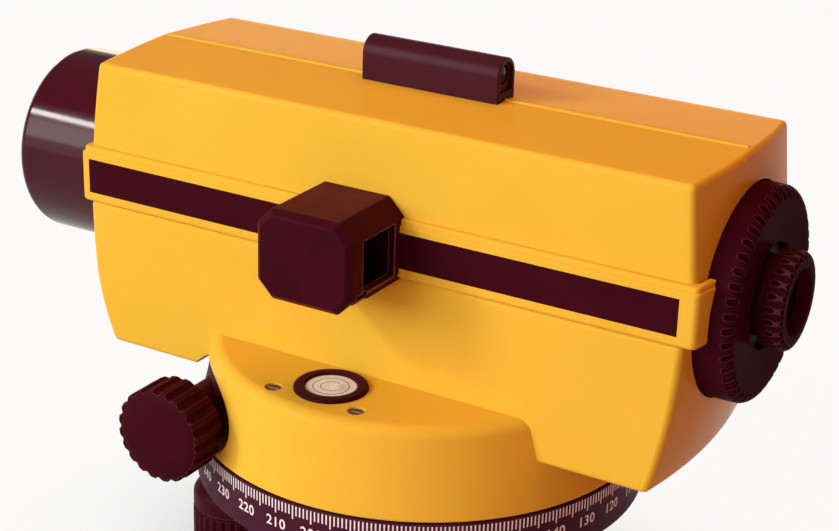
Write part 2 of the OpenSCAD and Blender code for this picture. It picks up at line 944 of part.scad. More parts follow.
module eyepiece_cell() {
    back = dioptre_front + 3.5;
    front = seat_x + 6;
    lip = 1;
    color("dimgray")
        lift()
            on_sight_axis(back)
                rotate_extrude()
                    polygon([
                        [eyepiece_r - 2.3, lip],
                        [eyepiece_r - 3.1, lip],
                        [eyepiece_r - 3.1, 0],
                        [eyepiece_r - fit, 0],
                        [eyepiece_r - fit, front - back],
                        [eyepiece_r - 2.3, front - back]
                    ]);
}

module eyepiece_lenses() {
    r = eyepiece_r - 2.3;
    color("lightblue", 0.5)
        lift()
            union() {
                on_sight_axis(dioptre_front + 4.5)
                    lens(r, 4, 0, 1.4);
                on_sight_axis(seat_x - 1)
                    lens(r, 3, 1.2, 0);
            }
}

module dioptre_ring() {
    back = dioptre_back - dioptre_front;
    notch_r = 0.9;
    color("black")
        lift()
            on_sight_axis(dioptre_front)
                difference() {
                    rotate_extrude()
                        polygon(rounded(
                            [
                                [eyepiece_r - 1.6, 0],
                                [dioptre_r, 0],
                                [dioptre_r, back],
                                [eyepiece_r + fit, back],
                                [eyepiece_r + fit, 3.2],
                                [eyepiece_r - 3.3, 3.2]
                            ],
                            [0.5, 1, 0.3, 0, 0, 0.3]
                        ));
                    for (i = [0:dioptre_notches - 1])
                        rotate(i * 360 / dioptre_notches)
                            translate([dioptre_r + notch_r * 0.3, 0, -1])
                                cylinder(r = notch_r, h = 5.4, $fn = 24);
                }
}

module reticle_cover() {
    notch_r = 1.2;
    color("black")
        lift()
            on_sight_axis(ring_front)
                difference() {
                    rotate_extrude()
                        polygon(rounded(
                            [
                                [dioptre_r + 0.9, 0],
                                [cover_ring_r - 2, 0],
                                [cover_ring_r, 3.4],
                                [cover_ring_r, cover_ring_t],
                                [tube_r + fit, cover_ring_t],
                                [tube_r + fit, tube_back - ring_front + 1],
                                [dioptre_r + 0.9, tube_back - ring_front + 1]
                            ],
                            [0.4, 2.2, 0, 0, 0, 0, 0]
                        ));
                    for (i = [0:cover_ring_notches - 1])
                        rotate(i * 360 / cover_ring_notches)
                            translate([cover_ring_r + notch_r * 0.2, 0, -1])
                                cylinder(r = notch_r, h = 4.6, $fn = 24);
                }
}

// Sight

sight_back = -sight_shift - sight_l / 2;
tunnel_z = ridge + sight_h - sight_w / 2;

module sight_body() {
    straight = sight_h - sight_w / 2 + ridge_rise;
    color("black")
        lift()
            difference() {
                translate([sight_back, 0, 0])
                    union() {
                        translate([0, -sight_w / 2, eave])
                            cube([sight_l, sight_w, straight]);
                        translate([0, 0, tunnel_z])
                            rotate([0, 90, 0])
                                cylinder(r = sight_w / 2, h = sight_l);
                    }
                across_x([[-eave_half_w, eave - 5], [-eave_half_w, eave], [0, ridge], [eave_half_w, eave],
                    [eave_half_w, eave - 5]]);
                translate([sight_back - 1, 0, tunnel_z])
                    rotate([0, 90, 0])
                        cylinder(r = tunnel_r, h = sight_l + 2);
                translate([sight_back - 1, -sight_w / 2 + 1.2, ridge + 2])
                    cube([1.8, sight_w - 2.4, tunnel_z - ridge + 0.6]);
            }
}

module sight_eye_lens() {
    color("lightblue", 0.5)
        lift()
            translate([sight_back + 1.2, 0, tunnel_z])
                rotate([0, 90, 0])
                    lens(tunnel_r, 2, 0.5, 0);
}

module sight_front_glass() {
    color("lightblue", 0.5)
        lift()
            translate([sight_back + sight_l - 2.4, 0, tunnel_z])
                rotate([0, 90, 0])
                    lens(tunnel_r, 1.6, 0, 0.2);
}

// Vial and its viewing prism

module vial_screw_places(h) {
    for (side = [-1, 1])
        translate([vial_x + side * vial_screw_r * cos(32), vial_y + vial_screw_r * sin(32), h])
            children();
}

module vial_cell() {
    low = deck - 0.5;
    high = drum_h + 0.9;
    color("black")
        lift()
            translate([vial_x, vial_y, 0])
                rotate_extrude()
                    polygon(rounded(
                        [[0, low], [vial_r, low], [vial_r, high], [vial_glass_r, high], [vial_glass_r, low + 2],
                            [0, low + 2]],
                        [0, 0, 0.7, 0.3, 0, 0]
                    ));
}

module vial_glass() {
    low = deck + 1.5;
    color("palegreen", 0.6)
        lift()
            translate([vial_x, vial_y, low])
                lens(vial_glass_r, drum_h + 0.3 - low, 0, 0.8);
}

module vial_screws() {
    color("silver")
        lift()
            vial_screw_places(drum_h - 1.6)
                screw(2, 1.2, 0.9, 3.5);
}

function prism_outline(t) =
    let (half = prism_half_w - t, low = prism_low + t, high = prism_low + prism_h - t, cut = prism_cut - 0.59 * t)
    [
        [half, low + cut], [half, high - cut], [half - cut, high], [-half + cut, high],
        [-half, high - cut], [-half, low + cut], [-half + cut, low], [half - cut, low]
    ];

module prism_bar(t, from, to) {
    translate([vial_x, to, 0])
        rotate([90, 0, 0])
            linear_extrude(to - from)
                polygon(prism_outline(t));
}

module prism_housing() {
    inner = waist_half_w - 2;
    back = waist_half_w + band_proud;
    sill_y = back + 12;
    sill_h = 4.8;
    window = [prism_h - 2 * prism_cut - 0.8, 13];
    color("black")
        lift()
            difference() {
                union() {
                    prism_bar(0, inner, prism_reach - prism_bevel);
                    hull() {
                        prism_bar(0, prism_reach - prism_bevel - eps, prism_reach - prism_bevel);
                        prism_bar(prism_bevel, prism_reach - eps, prism_reach);
                    }
                    translate([vial_x - prism_half_w + 0.5, inner, prism_low + 2.4])
                        cube([6, sill_y - inner, sill_h]);
                }
                prism_bar(prism_wall, inner - 1, prism_reach - prism_bevel - prism_wall);
                across_x(cover_section(0, parting));
                across_x(band_section());
                across_x(floor_section(0, parting));
                translate([vial_x - prism_half_w - 1, back + 2, prism_low + prism_cut + 0.4])
                    cube([3, window.y, window.x]);
                translate([vial_x - 5, back + 3, prism_low - 1])
                    cube([10, 12, 3]);
            }
}

module bubble_prism() {
    low = prism_low + prism_wall;
    leg = prism_h - 2 * prism_wall - 4.4;
    near = vial_x - leg / 2;
    color("lightblue", 0.5)
        lift()
            translate([0, waist_half_w + band_proud + 17, 0])
                rotate([90, 0, 0])
                    linear_extrude(16)
                        polygon([[near, low], [near + leg, low], [near, low + leg]]);
}

// Fine drive

// Oval bar along Y, round the worm shaft
module oval_bar(gap, l) {
    outline = [for (i = [0:47]) [(slot_half_l - gap) * cos(i * 7.5), (slot_half_h - gap) * sin(i * 7.5)]];
    along_y(worm_x, 0, worm_z)
        linear_extrude(l)
            polygon(outline);
}

// Openings in the drum's wall for the fine drive
module drive_slots() {
    for (side = [0, 1])
        mirror([0, side, 0])
            difference() {
                oval_bar(0, circle_r);
                cylinder(r = circle_r - drum_wall - 0.5, h = drum_h);
            }
}

module tangent_bush(side) {
    color("black")
        lift()
            mirror([0, side > 0 ? 0 : 1, 0])
                difference() {
                    intersection() {
                        oval_bar(fit, circle_r);
                        cylinder(r1 = drum_side(0) - insert_sink, r2 = drum_side(drum_h) - insert_sink, h = drum_h);
                    }
                    translate([0, 0, -1])
                        cylinder(r = insert_in, h = drum_h);
                    translate([0, 0, wheel_roof - clear])
                        cylinder(r = circle_r - drum_wall + fit, h = drum_h);
                    along_y(worm_x, 0, worm_z)
                        cylinder(r = worm_shaft_r + fit, h = circle_r);
                }
}

module tangent_bush_left() {
    tangent_bush(1);
}

module tangent_bush_right() {
    tangent_bush(-1);
}

module tangent_knob(side) {
    neck_l = tangent_knob_y - tangent_neck_y;
    color("black")
        lift()
            mirror([0, side > 0 ? 0 : 1, 0])
                along_y(worm_x, tangent_knob_y, worm_z)
                    difference() {
                        union() {
                            grooved_knob(tangent_knob_r, tangent_knob_t, 1.4, tangent_flutes, 1.3);
                            translate([0, 0, -neck_l])
                                cylinder(r = tangent_neck_r, h = neck_l + 1);
                        }
                        translate([0, 0, -neck_l - 1])
                            cylinder(r = worm_shaft_r, h = neck_l + tangent_knob_t - 1);
                    }
}

module tangent_knob_left() {
    tangent_knob(1);
}

module tangent_knob_right() {
    tangent_knob(-1);
}

module worm_shaft() {
    end = tangent_knob_y + tangent_knob_t - 2;
    pitch = 2.8;
    turns = 5;
    color("silver")
        lift()
            union() {
                along_y(worm_x, -end, worm_z)
                    cylinder(r = worm_shaft_r, h = 2 * end);
                along_y(worm_x, -pitch * turns / 2, worm_z)
                    rotate_extrude()
                        polygon(concat(
                            [[0, 0]],
                            [for (i = [0:turns - 1]) each [
                                [worm_r - 1, i * pitch],
                                [worm_r, (i + 0.35) * pitch],
                                [worm_r, (i + 0.65) * pitch],
                                [worm_r - 1, (i + 1) * pitch]
                            ]],
                            [[0, turns * pitch]]
                        ));
            }
}

module worm_wheel() {
    root = wheel_r - 1.2;
    step = 360 / wheel_teeth;
    color("goldenrod")
        lift()
            translate([0, 0, wheel_low])
                difference() {
                    linear_extrude(wheel_high - wheel_low)
                        polygon([for (i = [0:wheel_teeth - 1], k = [[root, 0], [wheel_r, 0.3], [wheel_r, 0.55], [root, 0.85]])
                            k[0] * [cos((i + k[1]) * step), sin((i + k[1]) * step)]]);
                    translate([0, 0, -1])
                        cylinder(r = bush_r + fit, h = wheel_high);
                    translate([0, 0, 3.4])
                        tube(root - 5, bush_r + 4, wheel_high);
                }
}

// Vertical axis

module spindle_screw_places(h) {
    for (turn = [60, 180, 300])
        rotate(turn)
            translate([flange_r - 4.5, 0, h])
                children();
}

module spindle() {
    low = arm_low - 0.6;
    color("silver")
        lift()
            difference() {
                union() {
                    translate([0, 0, low - 3])
                        cylinder(r = spindle_r, h = flange_low - low + 3 + eps);
                    translate([0, 0, flange_low])
                        cylinder(r = flange_r, h = wheel_roof - flange_low);
                }
                spindle_screw_places(flange_low - 1)
                    cylinder(r = 1.3, h = 6);
            }
}

module spindle_screws() {
    color("silver")
        lift()
            spindle_screw_places(flange_low)
                rotate([180, 0, 0])
                    screw(2.2, 0.25, 1.2, deck - flange_low - 0.3);
}

module spindle_nut() {
    color("silver")
        lift()
            translate([0, 0, arm_low - clear - 3.2])
                difference() {
                    cylinder(r = spindle_r + 3, h = 3.2, $fn = 8);
                    translate([0, 0, -1])
                        cylinder(r = spindle_r, h = 6);
                }
}

module axis_bush() {
    color("goldenrod")
        lift()
            union() {
                translate([0, 0, arm_low])
                    tube(bush_r, spindle_r + fit, bush_top - arm_low);
                translate([0, 0, hub_top])
                    tube(bush_r + 3, bush_r - 1, wheel_low - fit - hub_top);
            }
}

module graduated_circle() {
    color("black")
        lift()
            rotate_extrude()
                polygon(rounded(
                    [[hub_r + fit, -circle_h], [circle_r, -circle_h], [circle_r, 0], [hub_r + fit, 0]],
                    [0, 0.6, 0.4, 0]
                ));
}

// Levelling base

module tribrach() {
    boss_round = 2.4;
    color("black")
        difference() {
            union() {
                lift()
                    rotate_extrude()
                        polygon([
                            [bush_r + fit, arm_low],
                            [hub_r - 6, arm_low],
                            [hub_r - 1, arm_top],
                            [rim_r, -seat_h - 2],
                            [rim_r, -seat_h],
                            [hub_r, -seat_h],
                            [hub_r, hub_top],
                            [hub_r - 4, hub_top],
                            [hub_r - 4, -seat_h - 2],
                            [bush_r + 5, arm_top + 1],
                            [bush_r + 5, hub_top],
                            [bush_r + fit, hub_top]
                        ]);
                for (i = [0:2])
                    translate([foot_place(i).x, foot_place(i).y, arm_low_abs])
                        rotate_extrude()
                            polygon(rounded(
                                [[0, 0], [foot_knob_r - 0.1, 0], [foot_knob_r - 0.1, arm_t], [0, arm_t]],
                                [0, 0, boss_round, 0]
                            ));
            }
            for (i = [0:2])
                translate([foot_place(i).x, foot_place(i).y, arm_low_abs - 1])
                    cylinder(r = knob_neck_r + fit, h = arm_t + 0.2);
        }
}

module foot_spindle(i) {
    color("silver")
        translate([foot_place(i).x, foot_place(i).y, 0])
            union() {
                translate([0, 0, foot_pivot])
                    sphere(r = ball_r);
                translate([0, 0, foot_pivot])
                    cylinder(r = ball_r * 0.6, h = spindle_top - foot_pivot);
                translate([0, 0, foot_pivot + ball_r + 1.2])
                    cylinder(r = foot_spindle_r, h = spindle_top - foot_pivot - ball_r - 1.2);
            }
}

module foot_spindle_a() {
    foot_spindle(0);
}

module foot_spindle_b() {
    foot_spindle(1);
}

module foot_spindle_c() {
    foot_spindle(2);
}

module foot_knob(i) {
    color("black")
        translate([foot_place(i).x, foot_place(i).y, knob_low])
            difference() {
                union() {
                    grooved_knob(foot_knob_r, foot_knob_h, 1, foot_ribs, 0.8);
                    cylinder(r = knob_neck_r, h = knob_neck_top - knob_low);
                }
                translate([0, 0, -1])
                    cylinder(r = foot_spindle_r + fit, h = knob_neck_top);
            }
}

module foot_knob_a() {
    foot_knob(0);
}

module foot_knob_b() {
    foot_knob(1);
}

module foot_knob_c() {
    foot_knob(2);
}

// Plate with three rounded corners under the foot screws
module corner_plate(r, t) {
    linear_extrude(t)
        union() {
            for (i = [0:2])
                translate(foot_place(i))
                    circle(r = r);
            polygon([for (i = [0:2], turn = [-60, 60]) foot_place(i) + r * [cos(foot_angles[i] + turn), sin(foot_angles[i] + turn)]]);
        }
}

module base_plate() {
    color("black")
        difference() {
            union() {
                corner_plate(lobe_r, base_t);
                cylinder(r = base_hub_r, h = tripod_l);
            }
            translate([0, 0, -1])
                cylinder(r = tripod_r, h = tripod_l + 2);
            for (i = [0:2])
                translate([foot_place(i).x, foot_place(i).y, foot_pivot]) {
                    sphere(r = ball_r + 0.15);
                    cylinder(r = ball_r + 0.15, h = base_t);
                }
            spring_screw_places(base_t - 4)
                cylinder(r = 1.3, h = 5);
        }
}

module spring_screw_places(h) {
    for (turn = [90, 210, 330])
        rotate(turn)
            translate([base_hub_r + 6, 0, h])
                children();
}

module spring_plate() {
    arm_w = 9;
    color("silver")
        translate([0, 0, base_t])
            difference() {
                linear_extrude(spring_t)
                    union() {
                        circle(r = base_hub_r + 10);
                        for (i = [0:2]) {
                            translate(foot_place(i))
                                circle(r = ball_r + 4);
                            rotate(foot_angles[i])
                                translate([0, -arm_w / 2])
                                    square([foot_ring_r, arm_w]);
                        }
                    }
                translate([0, 0, -1])
                    cylinder(r = base_hub_r + clear, h = 3);
                for (i = [0:2])
                    translate([foot_place(i).x, foot_place(i).y, -1])
                        cylinder(r = spring_hole_r, h = 3);
                spring_screw_places(-1)
                    cylinder(r = 1.4, h = 3);
            }
}

module spring_plate_screws() {
    color("silver")
        spring_screw_places(base_t + spring_t)
            screw(2.6, 1.5, 1.25, 4);
}

base_plate();
spring_plate();
spring_plate_screws();
tribrach();
axis_bush();
foot_spindle_a();
foot_spindle_b();
foot_spindle_c();
foot_knob_a();
foot_knob_b();
foot_knob_c();
graduated_circle();
lower_housing();
upper_cover();
label_strip_left();
label_strip_right();
cover_screws();
spindle();
spindle_nut();
spindle_screws();
worm_wheel();
worm_shaft();
tangent_knob_left();
tangent_knob_right();
tangent_bush_left();
tangent_bush_right();
objective_barrel();
objective_lens();
objective_retainer();
guide_tube();
focus_cell();
focus_lens();
focus_rack();
focus_pinion();
focus_bush();
focus_knob();
compensator_frame();
pendulum();
pendulum_prism();
suspension_tapes();
front_prism();
rear_prism();
damper_magnets();
eyepiece_tube();
reticle_cell();
reticle();
reticle_screws();
eyepiece_cell();
eyepiece_lenses();
dioptre_ring();
reticle_cover();
sight_body();
sight_eye_lens();
sight_front_glass();
vial_cell();
vial_glass();
vial_screws();
prism_housing();
bubble_prism();
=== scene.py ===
# Looks of an automatic level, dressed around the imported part.
# Own sizes are written in millimetres and turned into metres by mm().

import json
import math

import bmesh
import bpy
from mathutils import Matrix, Vector


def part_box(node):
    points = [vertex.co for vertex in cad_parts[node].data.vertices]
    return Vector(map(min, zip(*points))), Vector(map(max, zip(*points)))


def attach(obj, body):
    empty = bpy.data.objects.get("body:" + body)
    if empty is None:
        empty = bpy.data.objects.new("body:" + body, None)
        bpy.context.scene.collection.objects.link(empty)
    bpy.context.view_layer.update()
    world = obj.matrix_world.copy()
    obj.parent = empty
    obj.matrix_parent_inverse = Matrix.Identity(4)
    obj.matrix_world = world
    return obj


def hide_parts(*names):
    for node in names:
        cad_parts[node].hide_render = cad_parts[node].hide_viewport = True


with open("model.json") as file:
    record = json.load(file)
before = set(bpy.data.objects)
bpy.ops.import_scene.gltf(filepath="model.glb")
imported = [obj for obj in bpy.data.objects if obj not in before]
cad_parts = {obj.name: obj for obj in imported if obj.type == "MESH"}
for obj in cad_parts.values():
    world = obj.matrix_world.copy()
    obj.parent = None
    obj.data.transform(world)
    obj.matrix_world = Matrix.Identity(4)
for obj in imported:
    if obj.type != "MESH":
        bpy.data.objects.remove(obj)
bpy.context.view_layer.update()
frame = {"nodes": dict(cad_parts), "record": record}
nodes = frame["nodes"]
scene = bpy.context.scene


def mm(value):
    return value * 0.001


# Places taken from the frame
circle_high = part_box("graduated_circle")[1]
cover_low, cover_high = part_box("upper_cover")
barrel_low, barrel_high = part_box("objective_barrel")
ring_low, ring_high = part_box("reticle_cover")
strip_low, strip_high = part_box("label_strip_left")
vial_low, vial_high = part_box("vial_glass")
cell_low, cell_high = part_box("vial_cell")
screw_low, screw_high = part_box("vial_screws")
worm_low, worm_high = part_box("worm_shaft")
bush_low, bush_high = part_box("focus_bush")
eye_low, eye_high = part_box("dioptre_ring")
sight_low, sight_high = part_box("sight_body")
prism_low, prism_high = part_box("prism_housing")

CIRCLE_TOP = circle_high.z
CIRCLE_R = circle_high.x
SIGHT_AXIS = (barrel_low.z + barrel_high.z) / 2
PARTING = cover_low.z
RIDGE = cover_high.z

# Band round the cover, and the share of its swell that it keeps on the rear face
BAND_PROUD = mm(1.4)
BAND_H = mm(14.4)
REAR_SHARE = 0.64

# Telescope housing
RIDGE_RISE = mm(1.1)
WAIST = cover_high.y - BAND_PROUD
FRONT = cover_high.x - BAND_PROUD
RING_PROUD = mm(3.6)
REAR = -ring_low.x - RING_PROUD
EAVE = RIDGE - RIDGE_RISE
EAVE_HALF = mm(27.8)
FLOOR_HALF = mm(28)
BODY_LOW = CIRCLE_TOP + mm(11.5)
FRONT_BOW = mm(1.8)
REAR_BOW = mm(2.9)
WALL = mm(2.4)
DECK = CIRCLE_TOP + mm(17.3)
OPENING_GAP = mm(0.35)
SEAT_R = ring_high.y + OPENING_GAP
BARREL_HOLE_R = barrel_high.y + OPENING_GAP
BULKHEAD_FRONT = FRONT - mm(8.4)
OVERCUT = mm(3)

# Drum, its room for the worm wheel, and the oval openings of the fine drive
DRUM_TOP = CIRCLE_TOP + mm(22)
DRUM_LOW = CIRCLE_TOP + mm(0.4)
DRUM_TOP_R = mm(52.4)
WHEEL_ROOF = CIRCLE_TOP + mm(14.8)
WHEEL_ROOM_R = mm(50.5)
WORM_X = (worm_low.x + worm_high.x) / 2
WORM_Z = (worm_low.z + worm_high.z) / 2
SLOT_HALF_L = mm(13.6)
SLOT_HALF_H = mm(9)
SLOT_START = mm(4)

# Sides of the object, as signs of y
LEFT = 1
RIGHT = -1

# Fineness of the meshes
ROUND_STEPS = 160
END_STEPS = 17
CORNER_STEPS = 5

# Faces of a box whose eight corners run over two, two and two values
BOX_FACES = ((0, 1, 3, 2), (4, 6, 7, 5), (0, 4, 5, 1), (2, 3, 7, 6), (0, 2, 6, 4), (1, 5, 7, 3))


# Outlines

def unit(v):
    return v / v.length


def corner_arc(a, p, b, radius, steps):
    """Points of an arc in the corner at p, between the neighbours a and b."""
    if radius <= 0:
        return [p]
    u = unit(a - p)
    v = unit(b - p)
    half = u.angle(v) / 2
    middle = p + unit(u + v) * radius / math.sin(half)
    start = p + u * radius / math.tan(half) - middle
    end = p + v * radius / math.tan(half) - middle
    sweep = math.atan2(start.x * end.y - start.y * end.x, start.dot(end))
    return [middle + Matrix.Rotation(sweep * i / steps, 2) @ start for i in range(steps + 1)]


def rounded(points, radii, steps=5):
    """Closed outline with its corners rounded, one radius for each corner."""
    count = len(points)
    corners = [Vector(p) for p in points]
    outline = []
    for i in range(count):
        outline += corner_arc(corners[i - 1], corners[i], corners[(i + 1) % count], radii[i], steps)
    return outline


# Mesh helpers

def mesh_object(name, verts, faces):
    mesh = bpy.data.meshes.new(name)
    mesh.from_pydata([tuple(v) for v in verts], [], faces)
    obj = bpy.data.objects.new(name, mesh)
    scene.collection.objects.link(obj)
    work = bmesh.new()
    work.from_mesh(mesh)
    bmesh.ops.recalc_face_normals(work, faces=work.faces)
    work.to_mesh(mesh)
    work.free()
    return obj


def bake(obj):
    """Turns the object's modifiers into its mesh."""
    graph = bpy.context.evaluated_depsgraph_get()
    mesh = bpy.data.meshes.new_from_object(obj.evaluated_get(graph))
    old = obj.data
    obj.modifiers.clear()
    obj.data = mesh
    bpy.data.meshes.remove(old)


def combine(obj, other, operation):
    """Cuts other out of obj, or joins it on, and drops other."""
    step = obj.modifiers.new("combine", "BOOLEAN")
    step.operation = operation
    step.solver = "EXACT"
    step.object = other
    bake(obj)
    mesh = other.data
    bpy.data.objects.remove(other)
    bpy.data.meshes.remove(mesh)


def bevel(obj, width, steps=3, angle=30):
    step = obj.modifiers.new("bevel", "BEVEL")
    step.width = width
    step.segments = steps
    step.limit_method = "ANGLE"
    step.angle_limit = math.radians(angle)
    step.use_clamp_overlap = True
    bake(obj)


def smooth(obj, angle=32):
    """Soft shading that keeps edges sharper than the angle."""
    for face in obj.data.polygons:
        face.use_smooth = True
    obj.data.set_sharp_from_angle(angle=math.radians(angle))
    step = obj.modifiers.new("normals", "WEIGHTED_NORMAL")
    step.keep_sharp = True
    step.weight = 60


def dress(obj, body, slot, material, *stands_for):
    """Gives a piece its material and body, and hides the nodes that it stands for; slot is not used."""
    obj.data.materials.clear()
    obj.data.materials.append(material)
    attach(obj, body)
    if stands_for:
        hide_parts(*stands_for)
    return obj


def turned(profile, steps, place, closed=False):
    """Turned form: the profile holds (radius, height) pairs, and place carries local +Z to its axis."""
    on_axis = mm(0.001)
    verts = []
    rows = []
    for radius, height in profile:
        if radius < on_axis:
            rows.append([len(verts)] * steps)
            verts.append(place @ Vector((0, 0, height)))
            continue
        rows.append(range(len(verts), len(verts) + steps))
        for i in range(steps):
            turn = 2 * math.pi * i / steps
            verts.append(place @ Vector((radius * math.cos(turn), radius * math.sin(turn), height)))
    faces = []
    pairs = list(zip(rows, rows[1:]))
    if closed:
        pairs.append((rows[-1], rows[0]))
    for low, high in pairs:
        for i in range(steps):
            k = (i + 1) % steps
            corners = list(dict.fromkeys((low[i], low[k], high[k], high[i])))
            if len(corners) > 2:
                faces.append(corners)
    return verts, faces


def lathe(name, profile, steps, place, closed=False):
    return mesh_object(name, *turned(profile, steps, place, closed))


def gather(forms):
    """One set of points and faces out of several."""
    verts = []
    faces = []
    for form_verts, form_faces in forms:
        base = len(verts)
        verts += form_verts
        faces += [[base + k for k in face] for face in form_faces]
    return verts, faces


def along_x(x, y=0.0, z=0.0):
    """Place that carries local +Z to +X; along_y and upright do so for +Y and +Z."""
    return Matrix.Translation((x, y, z)) @ Matrix.Rotation(math.pi / 2, 4, "Y")


def along_y(x, y, z):
    return Matrix.Translation((x, y, z)) @ Matrix.Rotation(-math.pi / 2, 4, "X")


def upright(x=0.0, y=0.0, z=0.0):
    return Matrix.Translation((x, y, z))


def plug(name, radius, length, place, steps=96):
    """Plain round cutter."""
    return lathe(name, [(0, 0), (radius, 0), (radius, length), (0, length)], steps, place)


def block(name, low, high):
    """Plain square cutter."""
    xs, ys, zs = zip(low, high)
    return mesh_object(name, [(x, y, z) for x in xs for y in ys for z in zs], BOX_FACES)


def bar_x(name, outline, start, end):
    """Bar along X with the (y, z) outline given."""
    count = len(outline)
    verts = [(x, y, z) for x in (start, end) for y, z in outline]
    faces = [(i, (i + 1) % count, count + (i + 1) % count, count + i) for i in range(count)]
    faces += [tuple(range(count)), tuple(range(count, 2 * count))]
    return mesh_object(name, verts, faces)


def bar_y(name, stations):
    """Bar along Y through the (y, outline) stations."""
    count = len(stations[0][1])
    verts = [(x, y, z) for y, outline in stations for x, z in outline]
    faces = []
    for k in range(len(stations) - 1):
        for i in range(count):
            n = (i + 1) % count
            faces.append((k * count + i, k * count + n, (k + 1) * count + n, (k + 1) * count + i))
    faces += [tuple(range(count)), tuple(range((len(stations) - 1) * count, len(stations) * count))]
    return mesh_object(name, verts, faces)


# Housing: levels from low to high, each a plan outline with swelled ends

def level(height, half, front, rear, corner=0.0):
    """One plan outline; height is a number, or a function of y, and corner rounds the outline's corners."""
    flat = half - corner
    bends = [math.pi / 2 * i / CORNER_STEPS for i in range(1, CORNER_STEPS + 1)] if corner else []
    turn = [(flat + corner * math.sin(b), corner * (1 - math.cos(b))) for b in bends]
    across = turn[::-1]
    across += [(flat * (1 - 2 * i / (END_STEPS - 1)), 0) for i in range(END_STEPS)]
    across += [(-y, back) for y, back in turn]
    rise = height if callable(height) else lambda y: height
    outline = []
    for y, back in across:
        outline.append(Vector((front - FRONT_BOW * (y / WAIST) ** 2 - back, y, rise(y))))
    for y, back in reversed(across):
        outline.append(Vector((-rear + REAR_BOW * (y / WAIST) ** 2 + back, y, rise(y))))
    return outline


def loft(name, levels, loop=False):
    """Skin over the levels, with a lid at both ends, or run round when it loops."""
    size = len(levels[0])
    verts = [p for outline in levels for p in outline]
    faces = []
    spans = [(k, k + 1) for k in range(len(levels) - 1)]
    if loop:
        spans.append((len(levels) - 1, 0))
    for low, high in spans:
        for i in range(size):
            k = (i + 1) % size
            faces.append((low * size + i, low * size + k, high * size + k, high * size + i))
    if not loop:
        for base in (0, (len(levels) - 1) * size):
            for i in range(size // 2 - 1):
                faces.append((base + i, base + i + 1, base + size - 2 - i, base + size - 1 - i))
    return mesh_object(name, verts, faces)


def swelled(start, end, bulge, t):
    """Value at the share t of the way from start to end, with a swell that is full half-way."""
    return start + (end - start) * t + 4 * bulge * t * (1 - t)


def front_at(z):
    """Reach of the front face at height z: a tall face above the heel, and one that draws in below it."""
    top = Vector((FRONT - mm(3.4), RIDGE))
    heel = Vector((FRONT - mm(0.4), CIRCLE_TOP + mm(30)))
    toe = Vector((FRONT - mm(5.4), BODY_LOW))
    low, high, bulge = (toe, heel, mm(0.7)) if z < heel.y else (heel, top, mm(1.6))
    return swelled(low.x, high.x, bulge, (z - low.y) / (high.y - low.y))


def cover_rear_at(z):
    """Reach of the cover's rear face at height z."""
    top_set = mm(3.8)
    return REAR - top_set * (z - PARTING) / (RIDGE - PARTING)


def chin_at(z):
    """Reach of the lower housing's rear face at height z."""
    set_back = mm(2.7)
    toe_set = mm(8.8)
    t = (z - BODY_LOW) / (PARTING - BODY_LOW)
    return swelled(REAR - toe_set, REAR - set_back, mm(1.2), t)


def cover_half_at(z):
    return EAVE_HALF + (WAIST - EAVE_HALF) * (EAVE - z) / (EAVE - PARTING)


def lower_half_at(z):
    return FLOOR_HALF + (WAIST - FLOOR_HALF) * (z - BODY_LOW) / (PARTING - BODY_LOW)


def roof_at(lift):
    """Roof height over y."""
    return lambda y: EAVE + lift + RIDGE_RISE * (1 - abs(y) / EAVE_HALF)


def heights(low, high, steps):
    return [low + (high - low) * i / steps for i in range(steps + 1)]


def cover_levels(inset, low):
    rows = []
    for z in heights(low, EAVE - inset, steps=8)[:-1]:
        rows.append(level(z, cover_half_at(z) - inset, front_at(z) - inset, cover_rear_at(z) - inset))
    top = EAVE - inset
    rows.append(level(roof_at(-inset), EAVE_HALF - inset, front_at(top) - inset, cover_rear_at(top) - inset))
    return rows


def lower_levels(inset, low, high):
    return [
        level(z, lower_half_at(z) - inset, front_at(z) - inset, chin_at(z) - inset)
        for z in heights(low, high, steps=10)
    ]


def end_cutters():
    """Round openings for the barrel and the cover ring."""
    seat_depth = mm(8)
    front = plug("front_opening", BARREL_HOLE_R, FRONT, along_x(BULKHEAD_FRONT, 0, SIGHT_AXIS))
    rear = plug("rear_opening", SEAT_R, REAR, along_x(ring_high.x + seat_depth - REAR, 0, SIGHT_AXIS))
    return front, rear


def make_cover(material):
    """Roof half of the housing, a shell open below."""
    cover = loft("cover_shell", cover_levels(0, PARTING))
    bevel(cover, mm(1.3), steps=4)
    combine(cover, loft("cover_room", cover_levels(WALL, PARTING - OVERCUT)), "DIFFERENCE")
    for cutter in end_cutters():
        combine(cover, cutter, "DIFFERENCE")
    smooth(cover)
    return dress(cover, "alidade", "yellow_paint", material, "upper_cover")


def make_ridge(material):
    """Fine bead along the roof's ridge."""
    half = mm(0.55)
    rise = mm(0.36)
    sink = mm(0.3)
    inset = mm(1.5)
    right = [(half, -sink), (half, rise / 2), (half / 2, rise)]
    left = [(-y, z) for y, z in right]
    outline = [(y, RIDGE + z) for y, z in left + right[::-1]]
    bead = bar_x("ridge_bead", outline, -cover_rear_at(RIDGE) + inset, front_at(RIDGE) - inset)
    bevel(bead, mm(0.1), steps=2)
    smooth(bead)
    return dress(bead, "alidade", "yellow_paint", material)


